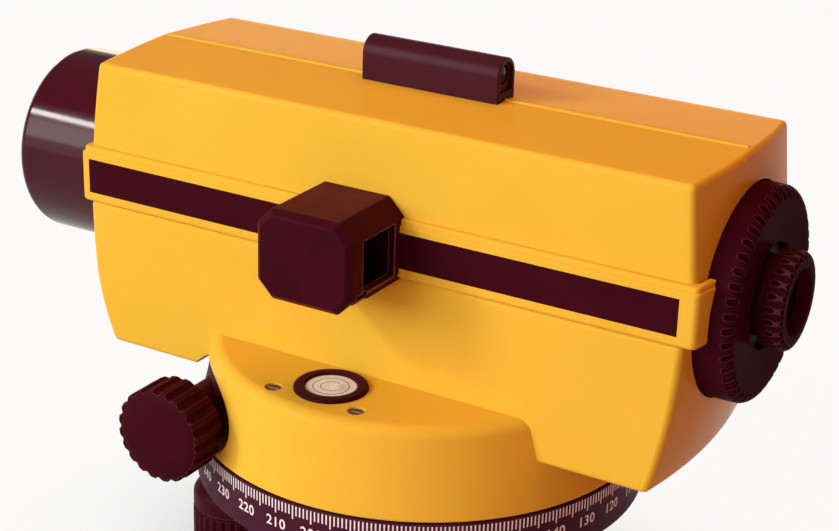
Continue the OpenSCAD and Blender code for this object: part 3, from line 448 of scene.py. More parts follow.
def make_band(material):
    """Raised band with a step above the strips and soft edges."""
    inner = mm(-1.5)
    step = mm(0.85)
    shoulder = mm(13)
    corner = mm(1.2)
    beyond = mm(2)
    section = rounded(
        [
            (inner, 0), (BAND_PROUD, 0), (BAND_PROUD, shoulder), (step, shoulder), (step, BAND_H),
            (inner, BAND_H)
        ],
        [0, mm(1), mm(0.4), mm(0.1), mm(0.6), 0], steps=4
    )
    rows = []
    for proud, rise in section:
        rows.append(level(PARTING + rise, WAIST + proud, FRONT + proud, REAR + REAR_SHARE * proud, corner))
    band = loft("cover_band", rows, loop=True)
    for side in (LEFT, RIGHT):
        ys = sorted((side * strip_low.y, side * (strip_high.y + beyond)))
        low = (strip_low.x, ys[0], strip_low.z)
        high = (strip_high.x, ys[1], strip_high.z)
        combine(band, block("strip_room", low, high), "DIFFERENCE")
    for cutter in end_cutters():
        combine(band, cutter, "DIFFERENCE")
    smooth(band)
    return dress(band, "alidade", "yellow_paint", material)


def make_lower(material):
    """Lower half of the housing with the drum, one casting."""
    lower = loft("housing_shell", lower_levels(0, BODY_LOW, PARTING))
    bevel(lower, mm(1.5), steps=4)
    profile = rounded(
        [
            (0, DRUM_TOP), (DRUM_TOP_R, DRUM_TOP), (CIRCLE_R, DRUM_LOW), (WHEEL_ROOM_R, DRUM_LOW),
            (WHEEL_ROOM_R, WHEEL_ROOF), (0, WHEEL_ROOF)
        ],
        [0, mm(3.2), mm(0.5), 0, mm(1), 0], steps=8
    )
    combine(lower, lathe("drum", profile, ROUND_STEPS, upright()), "UNION")
    combine(lower, loft("housing_room", lower_levels(WALL, DECK, PARTING + OVERCUT)), "DIFFERENCE")
    for cutter in (*end_cutters(), *vial_cutters(), *drive_cutters()):
        combine(lower, cutter, "DIFFERENCE")
    smooth(lower)
    return dress(lower, "alidade", "yellow_paint", material, "lower_housing")


def vial_cutters():
    """Rooms for the heads of the vial's screws, and for its cell."""
    head_r = mm(2.15)
    head_h = mm(3)
    head_inset = mm(2)
    head_y = (screw_low.y + screw_high.y) / 2
    head_z = DRUM_TOP - mm(1.6)
    for x in (screw_low.x + head_inset, screw_high.x - head_inset):
        yield plug("screw_room", head_r, head_h, upright(x, head_y, head_z), steps=32)
    cell_r = (cell_high.x - cell_low.x) / 2 + mm(0.06)
    cell_h = mm(20)
    cell_place = upright((cell_low.x + cell_high.x) / 2, (cell_low.y + cell_high.y) / 2, cell_low.z)
    yield plug("vial_room", cell_r, cell_h, cell_place)


def drive_cutters():
    """Oval openings and worm room of the fine drive, and the bore for the bush of the focusing drive."""
    for side in (LEFT, RIGHT):
        yield mesh_object("drive_room", *oval_bar(side, 1.0, lambda x, z: SLOT_START, lambda x, z: CIRCLE_R))
    worm_r = (worm_high.z - worm_low.z) / 2 + mm(0.4)
    worm_half_l = mm(6)
    yield plug("worm_room", worm_r, 2 * worm_half_l, along_y(WORM_X, -worm_half_l, WORM_Z))
    bush_r = (bush_high.x - bush_low.x) / 2 + mm(0.05)
    bush_l = mm(25)
    bush_start = bush_low.y - mm(10)
    bush_place = along_y((bush_low.x + bush_high.x) / 2, bush_start, (bush_low.z + bush_high.z) / 2)
    yield plug("focus_room", bush_r, bush_l, bush_place)


def drum_side(z):
    """Radius of the drum at height z."""
    return CIRCLE_R - (CIRCLE_R - DRUM_TOP_R) * (z - CIRCLE_TOP) / (DRUM_TOP - CIRCLE_TOP)


def oval_bar(side, share, inner, outer):
    """Bar with the oval outline of a drive opening, between two faces given as y over (x, z)."""
    steps = 72
    rings = 6
    verts = []
    for face in (inner, outer):
        for ring in range(rings + 1):
            for i in range(steps if ring else 1):
                turn = 2 * math.pi * i / steps
                x = WORM_X + SLOT_HALF_L * share * ring / rings * math.cos(turn)
                z = WORM_Z + SLOT_HALF_H * share * ring / rings * math.sin(turn)
                verts.append(Vector((x, side * face(x, z), z)))
    layer = 1 + rings * steps
    faces = []
    for base in (0, layer):
        for i in range(steps):
            k = (i + 1) % steps
            faces.append((base, base + 1 + i, base + 1 + k))
            for ring in range(rings - 1):
                near = base + 1 + ring * steps
                faces.append((near + i, near + k, near + steps + k, near + steps + i))
    rim = 1 + (rings - 1) * steps
    for i in range(steps):
        k = (i + 1) % steps
        faces.append((rim + i, rim + k, layer + rim + k, layer + rim + i))
    return verts, faces


def make_insert(name, side, material, node):
    """Dark insert that closes a drive opening, a little below the drum's skin."""
    sink = mm(0.4)
    thick = mm(6)
    fit = 0.995
    neck_r = mm(6.3)
    span = 2 * CIRCLE_R

    def skin(depth):
        return lambda x, z: math.sqrt(max((drum_side(z) - depth) ** 2 - x * x, SLOT_START ** 2))

    insert = mesh_object(name, *oval_bar(side, fit, skin(sink + thick), skin(sink)))
    neck_room = plug("neck_room", neck_r, span, along_y(WORM_X, -span / 2, WORM_Z), steps=48)
    combine(insert, neck_room, "DIFFERENCE")
    combine(insert, block("below", (-span, -span, 0), (span, span, DRUM_LOW)), "DIFFERENCE")
    smooth(insert)
    return dress(insert, "alidade", "black_plastic", material, node)


# Rings, sight and prism box

def notched_ring(name, profile, place, count, radius, notch_r, notch_l, depth, lean):
    """Turned ring with notches open to its front; each ends round at the depth given and leans outwards."""
    ring = lathe(name, profile, ROUND_STEPS, place, closed=True)
    steps = 5
    dome = [math.pi / 2 * i / steps for i in range(steps + 1)]
    tip = [(notch_r * math.cos(t), notch_r * (math.sin(t) - 1)) for t in dome]
    cutter = [(0, -notch_l), (notch_r, -notch_l)] + tip
    tilt = Matrix.Translation((radius, 0, depth)) @ Matrix.Rotation(math.radians(lean), 4, "Y")
    forms = []
    for i in range(count):
        turn = Matrix.Rotation(2 * math.pi * (i + 0.5) / count, 4, "Z")
        forms.append(turned(cutter, 16, place @ turn @ tilt))
    combine(ring, mesh_object("notches", *gather(forms)), "DIFFERENCE")
    bevel(ring, mm(0.12), steps=2, angle=40)
    smooth(ring)
    return ring


def make_cover_ring(material):
    """Large ring round the eyepiece, with a faintly dished face."""
    radius = ring_high.y
    length = ring_high.x - ring_low.x
    bore = (eye_high.y - eye_low.y) / 2 + mm(0.9)
    dish = mm(0.4)
    shoulder = mm(2.6)
    face_r = radius - shoulder - mm(2)
    profile = rounded(
        [(bore, dish), (face_r, 0), (radius, 0), (radius, length), (bore, length)],
        [mm(0.2), 0, shoulder, mm(0.3), 0], steps=8
    )
    place = along_x(ring_low.x, 0, SIGHT_AXIS)
    ring = notched_ring(
        "cover_ring", profile, place, count=46, radius=radius, notch_r=mm(0.8), notch_l=mm(3.4), depth=mm(2),
        lean=45
    )
    return dress(ring, "alidade", "black_plastic", material, "reticle_cover")


def make_eye_ring(material):
    """Small ring of the eyepiece, with a mouth that narrows inwards."""
    radius = (eye_high.y - eye_low.y) / 2
    length = eye_high.x - eye_low.x
    bore = mm(9.56)
    mouth = mm(6.2)
    lip = mm(3.2)
    flare = mm(1.7)
    profile = rounded(
        [(mouth, lip), (mouth + flare, 0), (radius, 0), (radius, length), (bore, length), (bore, lip)],
        [mm(0.3), mm(0.5), mm(1.7), mm(0.3), 0, 0], steps=8
    )
    place = along_x(eye_low.x, 0, SIGHT_AXIS)
    ring = notched_ring(
        "eye_ring", profile, place, count=24, radius=radius, notch_r=mm(0.75), notch_l=mm(4.2), depth=mm(4),
        lean=20
    )
    return dress(ring, "dioptre_ring", "black_plastic", material, "dioptre_ring")


def cut_flutes(knob, place, radius, low, high):
    """Round scallops about a knob's rim, from low to high along its axis."""
    count = 20
    flute_r = mm(1.35)
    outwards = Matrix.Translation((radius + 0.3 * flute_r, 0, 0))
    cutter = [(0, low), (flute_r, low), (flute_r, high), (0, high)]
    forms = []
    for i in range(count):
        turn = Matrix.Rotation(2 * math.pi * i / count, 4, "Z")
        forms.append(turned(cutter, 20, place @ turn @ outwards))
    combine(knob, mesh_object("flutes", *gather(forms)), "DIFFERENCE")


def make_knob(name, side, material, body, node):
    """Fluted knob of the fine drive, with a neck that runs into the insert and a slightly domed face."""
    low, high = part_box(node)
    radius = (high.x - low.x) / 2
    far = max(abs(low.y), abs(high.y))
    start = mm(31)
    grip_l = mm(11.3)
    length = far - start
    neck_r = mm(6)
    neck_l = length - grip_l
    dome = mm(0.6)
    steps = 10
    rim = 0.93
    face = [(radius * rim * (1 - i / steps), length - dome * (1 - i / steps) ** 2) for i in range(steps + 1)]
    edge = rounded(
        [(0, 0), (neck_r, 0), (neck_r, neck_l), (radius, neck_l), (radius, length - 2 * dome), face[0]],
        [0, mm(0.3), mm(0.3), mm(1.2), mm(0.4), mm(0.3)]
    )
    place = along_y(WORM_X, start, WORM_Z)
    if side == RIGHT:
        place = Matrix.Scale(-1, 4, (0, 1, 0)) @ place
    knob = lathe(name, edge + face[1:], 120, place)
    beyond = mm(1)
    cut_flutes(knob, place, radius, neck_l - beyond, length + beyond)
    bevel(knob, mm(0.25), steps=3, angle=35)
    smooth(knob)
    return dress(knob, body, "black_plastic", material, node)


def arch(half, low, high, steps=20):
    """Outline with a flat foot and a round top, as (y, z) pairs."""
    crown = high - half
    turns = [math.pi * i / steps for i in range(steps + 1)]
    return [(half, low)] + [(half * math.cos(t), crown + half * math.sin(t)) for t in turns] + [(-half, low)]


def make_sight(material):
    """Peep sight on the ridge, with a hooded eye end and a tunnel right through."""
    half = (sight_high.y - sight_low.y) / 2
    foot = EAVE + mm(0.4)
    tunnel_r = mm(2.4)
    rim = mm(1)
    recess = mm(0.9)
    sight = bar_x("sight_case", arch(half, foot, sight_high.z), sight_low.x, sight_high.x)
    bevel(sight, mm(0.45), steps=3, angle=40)
    hollow = arch(half - rim, RIDGE + mm(2), sight_high.z - rim)
    combine(sight, bar_x("sight_recess", hollow, sight_low.x - recess, sight_low.x + recess), "DIFFERENCE")
    tunnel_place = along_x(sight_low.x - mm(5), 0, sight_high.z - half)
    combine(sight, plug("tunnel", tunnel_r, mm(60), tunnel_place, steps=40), "DIFFERENCE")
    smooth(sight)
    return dress(sight, "alidade", "black_plastic", material, "sight_body")


def octagon(inset):
    """Outline of the prism box, as (x, z) pairs."""
    cut = mm(4.1) - 0.59 * inset
    left = prism_low.x + inset
    right = prism_high.x - inset
    low = prism_low.z + inset
    high = prism_high.z - inset
    return [
        (right, low + cut), (right, high - cut), (right - cut, high), (left + cut, high),
        (left, high - cut), (left, low + cut), (left + cut, low), (right - cut, low)
    ]


def make_prism_box(material):
    """Eight-sided box with a window towards the eyepiece, an open corner below it and one over the vial."""
    wall = mm(1.8)
    slope = mm(1.5)
    back = mm(3.4)
    root = WAIST - mm(0.6)
    reach = prism_high.y
    left = prism_low.x
    low = prism_low.z
    middle = (prism_low.x + prism_high.x) / 2
    beyond = mm(1)
    box = bar_y("prism_box", [(root, octagon(0)), (reach - slope, octagon(0)), (reach, octagon(slope))])
    sill_low = (left + mm(0.5), root, low + mm(2.4))
    sill_high = (left + mm(6.5), root + mm(15), low + mm(7.2))
    combine(box, block("sill", sill_low, sill_high), "UNION")
    bevel(box, mm(0.28), steps=2, angle=25)
    room = [(root + back, octagon(wall)), (reach - slope - wall, octagon(wall))]
    combine(box, bar_y("prism_room", room), "DIFFERENCE")
    window_low = (left - mm(2), root + mm(4), low + mm(4.5))
    window_high = (left + mm(2), reach - mm(5.5), prism_high.z - mm(4.8))
    combine(box, block("window", window_low, window_high), "DIFFERENCE")
    corner_low = (left - beyond, root + mm(15.2), low - beyond)
    corner_high = (middle + mm(5), reach - mm(2.9), low + mm(4.8))
    combine(box, block("floor_window", corner_low, corner_high), "DIFFERENCE")
    view_half = mm(4.5)
    view_low = (middle - view_half, root + mm(4.5), low - beyond)
    view_high = (middle + view_half, root + mm(15.6), low + mm(2.3))
    combine(box, block("vial_window", view_low, view_high), "DIFFERENCE")
    smooth(box)
    return dress(box, "alidade", "black_plastic", material, "prism_housing")


# Circle: degree marks and figures

ZERO_TURN = 66.16
MARK_LIFT = mm(0.03)


def on_circle(turn, z, lift):
    """Point at a turn and height, lifted from the circle's skin."""
    radius = CIRCLE_R + lift
    return Vector((radius * math.cos(turn), radius * math.sin(turn), z))


def mark_turn(degree):
    """Turn of a degree's mark; the degrees run clockwise."""
    return -math.radians(ZERO_TURN + degree)


def make_marks(material):
    """360 marks, longer at each fifth degree."""
    top = CIRCLE_TOP - mm(0.45)
    long_mark = mm(3.5)
    short_mark = mm(2.5)
    half_turn = mm(0.18) / CIRCLE_R
    forms = []
    for degree in range(360):
        length = long_mark if degree % 5 == 0 else short_mark
        turn = mark_turn(degree)
        corners = []
        for lift in (-MARK_LIFT, MARK_LIFT):
            for z in (top - length, top):
                corners += [on_circle(turn + side, z, lift) for side in (-half_turn, half_turn)]
        forms.append((corners, BOX_FACES))
    return dress(mesh_object("circle_marks", *gather(forms)), "circle", "circle_black", material)


def figure_mesh(words):
    """Thin mesh of a number, centred on its place."""
    curve = bpy.data.curves.new("figure", "FONT")
    curve.body = words
    curve.size = mm(3.6)
    curve.align_x = "CENTER"
    curve.extrude = MARK_LIFT
    curve.offset = mm(0.05)
    curve.space_character = 1.1
    text = bpy.data.objects.new("figure", curve)
    scene.collection.objects.link(text)
    bpy.context.view_layer.update()
    graph = bpy.context.evaluated_depsgraph_get()
    mesh = bpy.data.meshes.new_from_object(text.evaluated_get(graph))
    bpy.data.objects.remove(text)
    bpy.data.curves.remove(curve)
    return mesh


def make_figures(material):
    """A figure at every tenth degree, wrapped round the circle."""
    foot = CIRCLE_TOP - mm(7.65)
    forms = []
    for degree in range(0, 360, 10):
        mesh = figure_mesh(str(degree))
        turn = mark_turn(degree)
        points = [on_circle(turn + v.co.x / CIRCLE_R, foot + v.co.y, v.co.z) for v in mesh.vertices]
        forms.append((points, [list(face.vertices) for face in mesh.polygons]))
        bpy.data.meshes.remove(mesh)
    return dress(mesh_object("circle_figures", *gather(forms)), "circle", "circle_black", material)


# Vial

def make_vial(disc_material, ring_material, bubble_material):
    """Pale disc under the vial's glass, two fine rings on it and the bubble."""
    x = (vial_low.x + vial_high.x) / 2
    y = (vial_low.y + vial_high.y) / 2
    floor = vial_high.z - mm(0.8)
    disc_r = (vial_high.x - vial_low.x) / 2 - mm(0.1)
    thick = mm(0.5)
    profile = rounded([(0, 0), (disc_r, 0), (disc_r, thick), (0, thick)], [0, 0, mm(0.2), 0])
    disc = lathe("vial_disc", profile, 64, upright(x, y, floor - thick))
    smooth(disc)
    dress(disc, "alidade", "glass", disc_material)
    line = mm(0.09)
    high = mm(0.05)
    for number, ring_r in enumerate((mm(2.5), mm(4.3))):
        section = [(ring_r - line, 0), (ring_r + line, 0), (ring_r + line, high), (ring_r - line, high)]
        ring = lathe("vial_ring_%d" % number, section, 64, upright(x, y, floor - mm(0.02)), closed=True)
        dress(ring, "alidade", "glass", ring_material)
    bubble_r = mm(1.7)
    bubble_half_h = mm(0.35)
    turns = [math.pi * i / 16 for i in range(17)]
    profile = [(bubble_r * math.sin(t), bubble_half_h * (1 - math.cos(t))) for t in turns]
    bubble = lathe("vial_bubble", profile, 48, upright(x - mm(2), y + mm(0.3), floor + mm(0.15)))
    smooth(bubble, angle=80)
    dress(bubble, "alidade", "glass", bubble_material)


# Materials

EDGE_REACH = mm(0.4)
GLOSS_TO_MOTTLE = 3.7


def new_material(name):
    material = bpy.data.materials.new(name)
    material.use_nodes = True
    tree = material.node_tree
    return material, tree, tree.nodes["Principled BSDF"]


def add(tree, kind, values=None, **settings):
    """Node with its settings, and with constants on the inputs named in values."""
    node = tree.nodes.new(kind)
    for key, value in settings.items():
        setattr(node, key, value)
    for key, value in (values or {}).items():
        node.inputs[key].default_value = value
    return node


def noise(tree, scale, detail=4.0, rough=0.55, stretch=(1, 1, 1)):
    """Noise in the piece's own coordinates; scale is about the number of waves in a metre."""
    place = add(tree, "ShaderNodeTexCoord")
    mapping = add(tree, "ShaderNodeMapping", {"Scale": stretch})
    texture = add(tree, "ShaderNodeTexNoise", {"Scale": scale, "Detail": detail, "Roughness": rough})
    tree.links.new(place.outputs["Object"], mapping.inputs["Vector"])
    tree.links.new(mapping.outputs["Vector"], texture.inputs["Vector"])
    return texture.outputs["Fac"]


def spread(tree, value, low, high, from_low=0.3, from_high=0.7):
    """Stretches a value to run from low to high; the usual bounds are those of the noise."""
    ends = {"From Min": from_low, "From Max": from_high, "To Min": low, "To Max": high}
    node = add(tree, "ShaderNodeMapRange", ends)
    tree.links.new(value, node.inputs["Value"])
    return node.outputs["Result"]


def blend_colours(tree, factor, first, second):
    """Colour between two, where each is a colour or an output that carries one."""
    node = add(tree, "ShaderNodeMix", data_type="RGBA")
    tree.links.new(factor, node.inputs["Factor"])
    for key, value in (("A", first), ("B", second)):
        socket = [s for s in node.inputs if s.name == key and s.type == "RGBA"][0]
        if isinstance(value, bpy.types.NodeSocket):
            tree.links.new(value, socket)
        else:
            socket.default_value = (*value, 1)
    return [s for s in node.outputs if s.type == "RGBA"][0]


def edge_factor(tree, reach):
    """Rises from 0 to 1 on outward edges, found by short rays inside the piece; it places the painted edge
    highlights.
    """
    rays = {"inside": True, "only_local": True, "samples": 6}
    at_edge = 0.5
    on_face = 0.85
    node = add(tree, "ShaderNodeAmbientOcclusion", {"Distance": reach}, **rays)
    return spread(tree, node.outputs["AO"], 1.0, 0.0, at_edge, on_face)


def bump(tree, shader, value, strength, depth):
    node = add(tree, "ShaderNodeBump", {"Strength": strength, "Distance": depth})
    tree.links.new(value, node.inputs["Height"])
    tree.links.new(node.outputs["Normal"], shader.inputs["Normal"])


def surface(name, dark, light, rough, mottle, grain, depth, edge=None, metallic=0.0, specular=0.5,
            stretch=(1, 1, 1), sheen=0.0):
    """Surface with two shades in a slow mottle, uneven gloss, fine grain and a painted highlight colour on
    outward edges.
    """
    material, tree, shader = new_material(name)
    slow = noise(tree, mottle, detail=5.0, rough=0.6, stretch=stretch)
    colour = blend_colours(tree, spread(tree, slow, 0.0, 1.0), dark, light)
    # edge is a lighter colour painted along outward edges as a highlight
    if edge:
        colour = blend_colours(tree, edge_factor(tree, EDGE_REACH), colour, edge)
    tree.links.new(colour, shader.inputs["Base Color"])
    gloss = noise(tree, mottle * GLOSS_TO_MOTTLE, detail=3.0, rough=0.5, stretch=stretch)
    tree.links.new(spread(tree, gloss, rough[0], rough[1]), shader.inputs["Roughness"])
    fine = noise(tree, grain, detail=3.0, rough=0.6, stretch=stretch)
    bump(tree, shader, fine, strength=0.35, depth=depth)
    shader.inputs["Metallic"].default_value = metallic
    shader.inputs["Specular IOR Level"].default_value = specular
    shader.inputs["Sheen Weight"].default_value = sheen
    shader.inputs["Sheen Roughness"].default_value = 0.35
    shader.inputs["Sheen Tint"].default_value = (1.0, 0.22, 0.16, 1)
    return material


def glass(name, tint, rough=0.02):
    """Lens glass with a faint smear."""
    material, tree, shader = new_material(name)
    smear = noise(tree, 60, detail=4.0, rough=0.6)
    tree.links.new(spread(tree, smear, rough, rough + 0.04), shader.inputs["Roughness"])
    faint = blend_colours(tree, spread(tree, smear, 0.0, 1.0), tint, [min(1, c * 1.04) for c in tint])
    tree.links.new(faint, shader.inputs["Base Color"])
    shader.inputs["Transmission Weight"].default_value = 1.0
    shader.inputs["IOR"].default_value = 1.5
    return material


def clear_film(name, tint, alpha):
    """Clear piece that lets the light straight through, for what lies close under glass."""
    material, tree, shader = new_material(name)
    smear = noise(tree, 90, detail=4.0, rough=0.6)
    tree.links.new(spread(tree, smear, 0.02, 0.07), shader.inputs["Roughness"])
    shader.inputs["Base Color"].default_value = (*tint, 1)
    shader.inputs["Alpha"].default_value = alpha
    return material


# Each edge colour below is a painted highlight along outward edges, lighter than its base
PAINT = surface(
    "yellow_paint", (0.82, 0.480, 0.042), (0.88, 0.520, 0.052), rough=(0.20, 0.28), mottle=22,
    grain=1500, depth=mm(0.015), edge=(0.93, 0.57, 0.075), specular=0.02
)
PLASTIC = surface(
    "black_plastic", (0.038, 0.0025, 0.007), (0.050, 0.004, 0.010), rough=(0.40, 0.54), mottle=60,
    grain=2600, depth=mm(0.05), edge=(0.11, 0.035, 0.05), specular=0.02, sheen=0.12
)
# The box's pale edge colour paints the highlight line along its front and chamfer edges
BOX = surface(
    "box_black_painted_highlight", (0.036, 0.0025, 0.007), (0.048, 0.004, 0.010), rough=(0.40, 0.54), mottle=60,
    grain=2600, depth=mm(0.05), edge=(0.34, 0.22, 0.26), specular=0.02, sheen=0.30
)
SIGHT = surface(
    "sight_black", (0.046, 0.006, 0.013), (0.060, 0.009, 0.019), rough=(0.36, 0.46), mottle=70,
    grain=2600, depth=mm(0.04), edge=(0.13, 0.06, 0.08), specular=0.09
)
SATIN = surface(
    "satin_black", (0.040, 0.0035, 0.011), (0.050, 0.005, 0.015), rough=(0.24, 0.32), mottle=50,
    grain=1500, depth=mm(0.012), edge=(0.10, 0.04, 0.06), specular=0.001
)
GLOSS = surface(
    "gloss_black", (0.046, 0.0025, 0.008), (0.058, 0.004, 0.012), rough=(0.10, 0.15), mottle=40,
    grain=500, depth=mm(0.006), edge=(0.070, 0.012, 0.022), specular=0.15
)
LABEL = surface(
    "label_black", (0.040, 0.0025, 0.007), (0.050, 0.004, 0.010), rough=(0.34, 0.44), mottle=80,
    grain=3000, depth=mm(0.015), specular=0.02
)
ENAMEL = surface(
    "black_paint", (0.042, 0.004, 0.010), (0.056, 0.006, 0.014), rough=(0.38, 0.52), mottle=35,
    grain=1200, depth=mm(0.05), edge=(0.11, 0.04, 0.06), specular=0.03
)
RING = surface(
    "circle_black", (0.052, 0.008, 0.022), (0.068, 0.012, 0.032), rough=(0.45, 0.58), mottle=50,
    grain=2200, depth=mm(0.03), edge=(0.12, 0.05, 0.08), specular=0.05
)
STEEL = surface(
    "steel", (0.50, 0.50, 0.51), (0.66, 0.66, 0.67), rough=(0.22, 0.36), mottle=90,
    grain=1800, depth=mm(0.02), metallic=1.0, stretch=(1, 1, 6)
)
# Its pale edge colour paints the glint on the screw heads
DARK_STEEL = surface(
    "dark_steel", (0.050, 0.012, 0.010), (0.090, 0.030, 0.022), rough=(0.18, 0.30), mottle=200,
    grain=2500, depth=mm(0.02), edge=(0.5, 0.4, 0.36), specular=0.25
)
BRASS = surface(
    "brass", (0.60, 0.42, 0.17), (0.75, 0.56, 0.27), rough=(0.22, 0.38), mottle=80,
    grain=1600, depth=mm(0.02), metallic=1.0, stretch=(1, 1, 5)
)
ANODISED = surface(
    "dark_anodised", (0.020, 0.006, 0.009), (0.030, 0.010, 0.014), rough=(0.42, 0.56), mottle=70,
    grain=2400, depth=mm(0.02), edge=(0.06, 0.04, 0.05), specular=0.05
)
WHITE = surface(
    "mark_white", (0.86, 0.76, 0.78), (0.96, 0.88, 0.90), rough=(0.45, 0.6), mottle=300,
    grain=3000, depth=mm(0.01)
)
IVORY = surface(
    "vial_ivory", (0.92, 0.84, 0.88), (0.98, 0.91, 0.95), rough=(0.3, 0.4), mottle=200,
    grain=1500, depth=mm(0.01)
)
# Near-black glass for the small optics: painted shade standing in for the dark inside seen through them
GLASS_PAINTED_DARK = surface(
    "glass_painted_dark", (0.006, 0.003, 0.004), (0.010, 0.005, 0.006), rough=(0.05, 0.10), mottle=60,
    grain=300, depth=mm(0.004), specular=0.2
)
GLASS = glass("lens_glass", (0.90, 0.95, 0.97))
VIAL = clear_film("vial_clear", (0.93, 0.95, 0.90), 0.12)
BUBBLE = clear_film("vial_bubble_film", (1.0, 1.0, 0.98), 0.4)

BY_SLOT = {
    "yellow_paint": PAINT, "black_plastic": PLASTIC, "gloss_black": GLOSS, "label_black": LABEL,
    "black_paint": ENAMEL, "circle_black": RING, "steel": STEEL, "brass": BRASS, "dark_anodised": ANODISED,
    "glass": GLASS
}


def dress_nodes():
    """Gives every node its slot's material, and the vial, its screws and the small optics their own."""
    slots = {part["node"]: part["material_slot"] for part in frame["record"]["subparts"]}
    for name, obj in nodes.items():
        obj.data.materials.clear()
        obj.data.materials.append(BY_SLOT[slots[name]])
    nodes["vial_glass"].data.materials[0] = VIAL
    nodes["vial_screws"].data.materials[0] = DARK_STEEL
    # The small optics get the near-black glass, painted shade for the dark inside behind them
    for name in ("bubble_prism", "eyepiece_lenses", "sight_eye_lens", "sight_front_glass"):
        nodes[name].data.materials[0] = GLASS_PAINTED_DARK


# Stage

def make_stage():
    """Pale floor, near white for the camera, gloss and glass, with a painted shadow: its glow is darker
    where the object covers it.
    """
    half = 6.0
    white_share = 0.94
    covered = 0.45
    shade_reach = mm(110)
    corners = [(-half, -half, 0), (half, -half, 0), (half, half, 0), (-half, half, 0)]
    floor = mesh_object("floor", corners, [(0, 1, 2, 3)])
    material, tree, shader = new_material("floor_white")
    mottle = spread(tree, noise(tree, 3, detail=3.0, rough=0.5), 0.0, 1.0)
    colour = blend_colours(tree, mottle, (0.55, 0.38, 0.32), (0.58, 0.41, 0.35))
    tree.links.new(colour, shader.inputs["Base Color"])
    shader.inputs["Roughness"].default_value = 0.9
    shader.inputs["Specular IOR Level"].default_value = 0.0
    glow = add(tree, "ShaderNodeEmission", {"Color": (1, 1, 1, 1)})
    # Ambient occlusion dims the glow near the object: a painted contact shadow
    shade = add(tree, "ShaderNodeAmbientOcclusion", {"Distance": shade_reach}, samples=8)
    tree.links.new(spread(tree, shade.outputs["AO"], covered, 1.0), glow.inputs["Strength"])
    share = add(tree, "ShaderNodeMath", operation="MULTIPLY")
    share.inputs[1].default_value = white_share
    tree.links.new(seen_ray(tree), share.inputs[0])
    mix = add(tree, "ShaderNodeMixShader")
    tree.links.new(share.outputs["Value"], mix.inputs["Fac"])
    tree.links.new(shader.outputs["BSDF"], mix.inputs[1])
    tree.links.new(glow.outputs["Emission"], mix.inputs[2])
    tree.links.new(mix.outputs["Shader"], tree.nodes["Material Output"].inputs["Surface"])
    floor.data.materials.append(material)


def seen_ray(tree):
    """1 for rays of the camera, of gloss and through glass."""
    path = add(tree, "ShaderNodeLightPath")
    total = path.outputs["Is Camera Ray"]
    for key in ("Is Glossy Ray", "Is Transmission Ray"):
        node = add(tree, "ShaderNodeMath", operation="MAXIMUM")
        tree.links.new(total, node.inputs[0])
        tree.links.new(path.outputs[key], node.inputs[1])
        total = node.outputs["Value"]
    return total


def make_world():
    """White backdrop near the ground that dims overhead, with a faint warm room for the light."""
    near_ground = 0.96
    overhead = 0.2
    dims_from = 0.1
    dims_to = 0.35
    world = bpy.data.worlds.new("studio")
    scene.world = world
    world.use_nodes = True
    tree = world.node_tree
    backdrop = tree.nodes["Background"]
    backdrop.inputs["Color"].default_value = (1, 1, 1, 1)
    place = add(tree, "ShaderNodeTexCoord")
    parts = add(tree, "ShaderNodeSeparateXYZ")
    tree.links.new(place.outputs["Generated"], parts.inputs["Vector"])
    strength = spread(tree, parts.outputs["Z"], near_ground, overhead, dims_from, dims_to)
    tree.links.new(strength, backdrop.inputs["Strength"])
    room = add(tree, "ShaderNodeBackground", {"Color": (1.0, 0.62, 0.52, 1), "Strength": 0.06})
    mix = add(tree, "ShaderNodeMixShader")
    tree.links.new(seen_ray(tree), mix.inputs["Fac"])
    tree.links.new(room.outputs["Background"], mix.inputs[1])
    tree.links.new(backdrop.outputs["Background"], mix.inputs[2])
    tree.links.new(mix.outputs["Shader"], tree.nodes["World Output"].inputs["Surface"])


def make_lamp(name, way, distance, size, power, colour):
    """Soft box in the given direction from the middle of the object, turned towards it."""
    aim = Vector((0, 0, CIRCLE_TOP + mm(45)))
    light = bpy.data.lights.new(name, "AREA")
    light.shape = "RECTANGLE"
    light.size = size[0]
    light.size_y = size[1]
    light.energy = power
    light.color = colour
    lamp = bpy.data.objects.new(name, light)
    scene.collection.objects.link(lamp)
    lamp.location = aim + unit(Vector(way)) * distance
    lamp.rotation_euler = (aim - lamp.location).to_track_quat("-Z", "Y").to_euler()


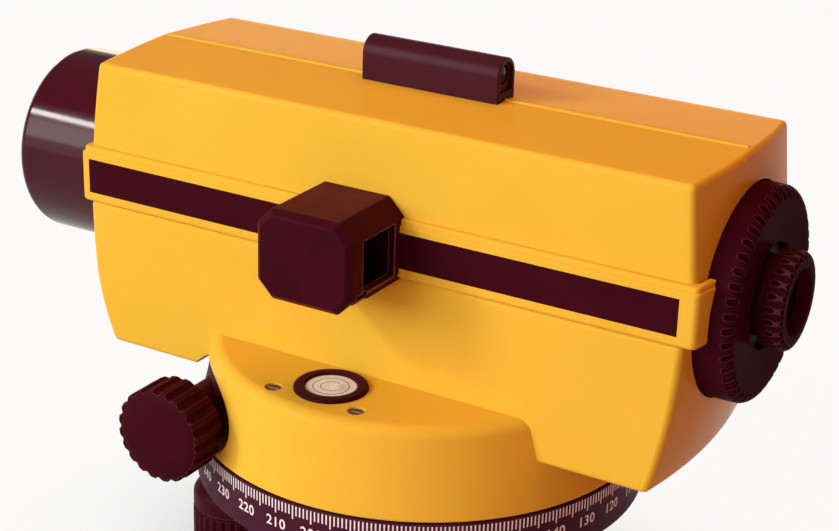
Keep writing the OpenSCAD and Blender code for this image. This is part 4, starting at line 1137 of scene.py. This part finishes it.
def make_lamps():
    """Broad key and fill from the left, a strip for the barrel's streak, and weak warm light elsewhere."""
    # Each has its direction, distance, width and height, power and colour
    make_lamp("key_box", (0.44, 0.84, 0.28), 1.7, (1.3, 0.52), 14.0, (0.86, 0.97, 1.0))
    make_lamp("key_strip", (0.63, 0.62, 0.50), 1.5, (0.32, 0.10), 6.6, (1.0, 1.0, 1.0))
    make_lamp("side_fill", (0.28, 1.0, 0.35), 1.7, (2.2, 1.6), 15.5, (1.0, 0.90, 0.78))
    make_lamp("top_box", (-0.1, -0.15, 1.0), 1.1, (0.9, 0.7), 6.7, (1.0, 0.38, 0.07))
    make_lamp("far_fill", (0.6, -1.0, 0.06), 1.7, (1.6, 0.4), 5.0, (1.0, 0.68, 0.32))
    make_lamp("eye_fill", (-1.0, 0.25, 0.25), 1.2, (0.7, 0.7), 1.3, (1.0, 0.08, 0.12))


def make_camera():
    """Camera at the photograph's viewing point, worked out from its turn, height, roll and distance."""
    turn = math.radians(209.76)
    rise = math.radians(22.05)
    roll = math.radians(1.70)
    distance = mm(482.7)
    aside = mm(-0.49)
    above = mm(37.57)
    focal_pixels = 1893.5
    frame_pixels = 839
    back = Vector((math.sin(turn) * math.cos(rise), -math.cos(turn) * math.cos(rise), math.sin(rise)))
    right = Vector((math.cos(turn), math.sin(turn), 0))
    up = back.cross(right)
    across = math.cos(roll) * right + math.sin(roll) * up
    over = -math.sin(roll) * right + math.cos(roll) * up
    data = bpy.data.cameras.new("camera")
    data.sensor_width = 36
    data.lens = data.sensor_width * focal_pixels / frame_pixels
    camera = bpy.data.objects.new("camera", data)
    scene.collection.objects.link(camera)
    place = Vector((0, 0, CIRCLE_TOP)) + back * distance + across * aside + over * above
    facing = Matrix((across, over, back)).transposed()
    camera.matrix_world = Matrix.Translation(place) @ facing.to_4x4()
    scene.camera = camera


# The dressed part and its stage

dress_nodes()
make_cover(PAINT)
make_ridge(PAINT)
make_band(PAINT)
make_lower(PAINT)
make_insert("insert_left", LEFT, PLASTIC, "tangent_bush_left")
make_insert("insert_right", RIGHT, PLASTIC, "tangent_bush_right")
make_knob("drive_knob_left", LEFT, PLASTIC, "tangent_screw", "tangent_knob_left")
make_knob("drive_knob_right", RIGHT, PLASTIC, "tangent_screw", "tangent_knob_right")
make_cover_ring(SATIN)
make_eye_ring(SATIN)
make_sight(SIGHT)
make_prism_box(BOX)
make_marks(WHITE)
make_figures(WHITE)
make_vial(IVORY, LABEL, BUBBLE)
make_stage()
make_world()
make_lamps()
make_camera()
scene.view_settings.view_transform = "Standard"
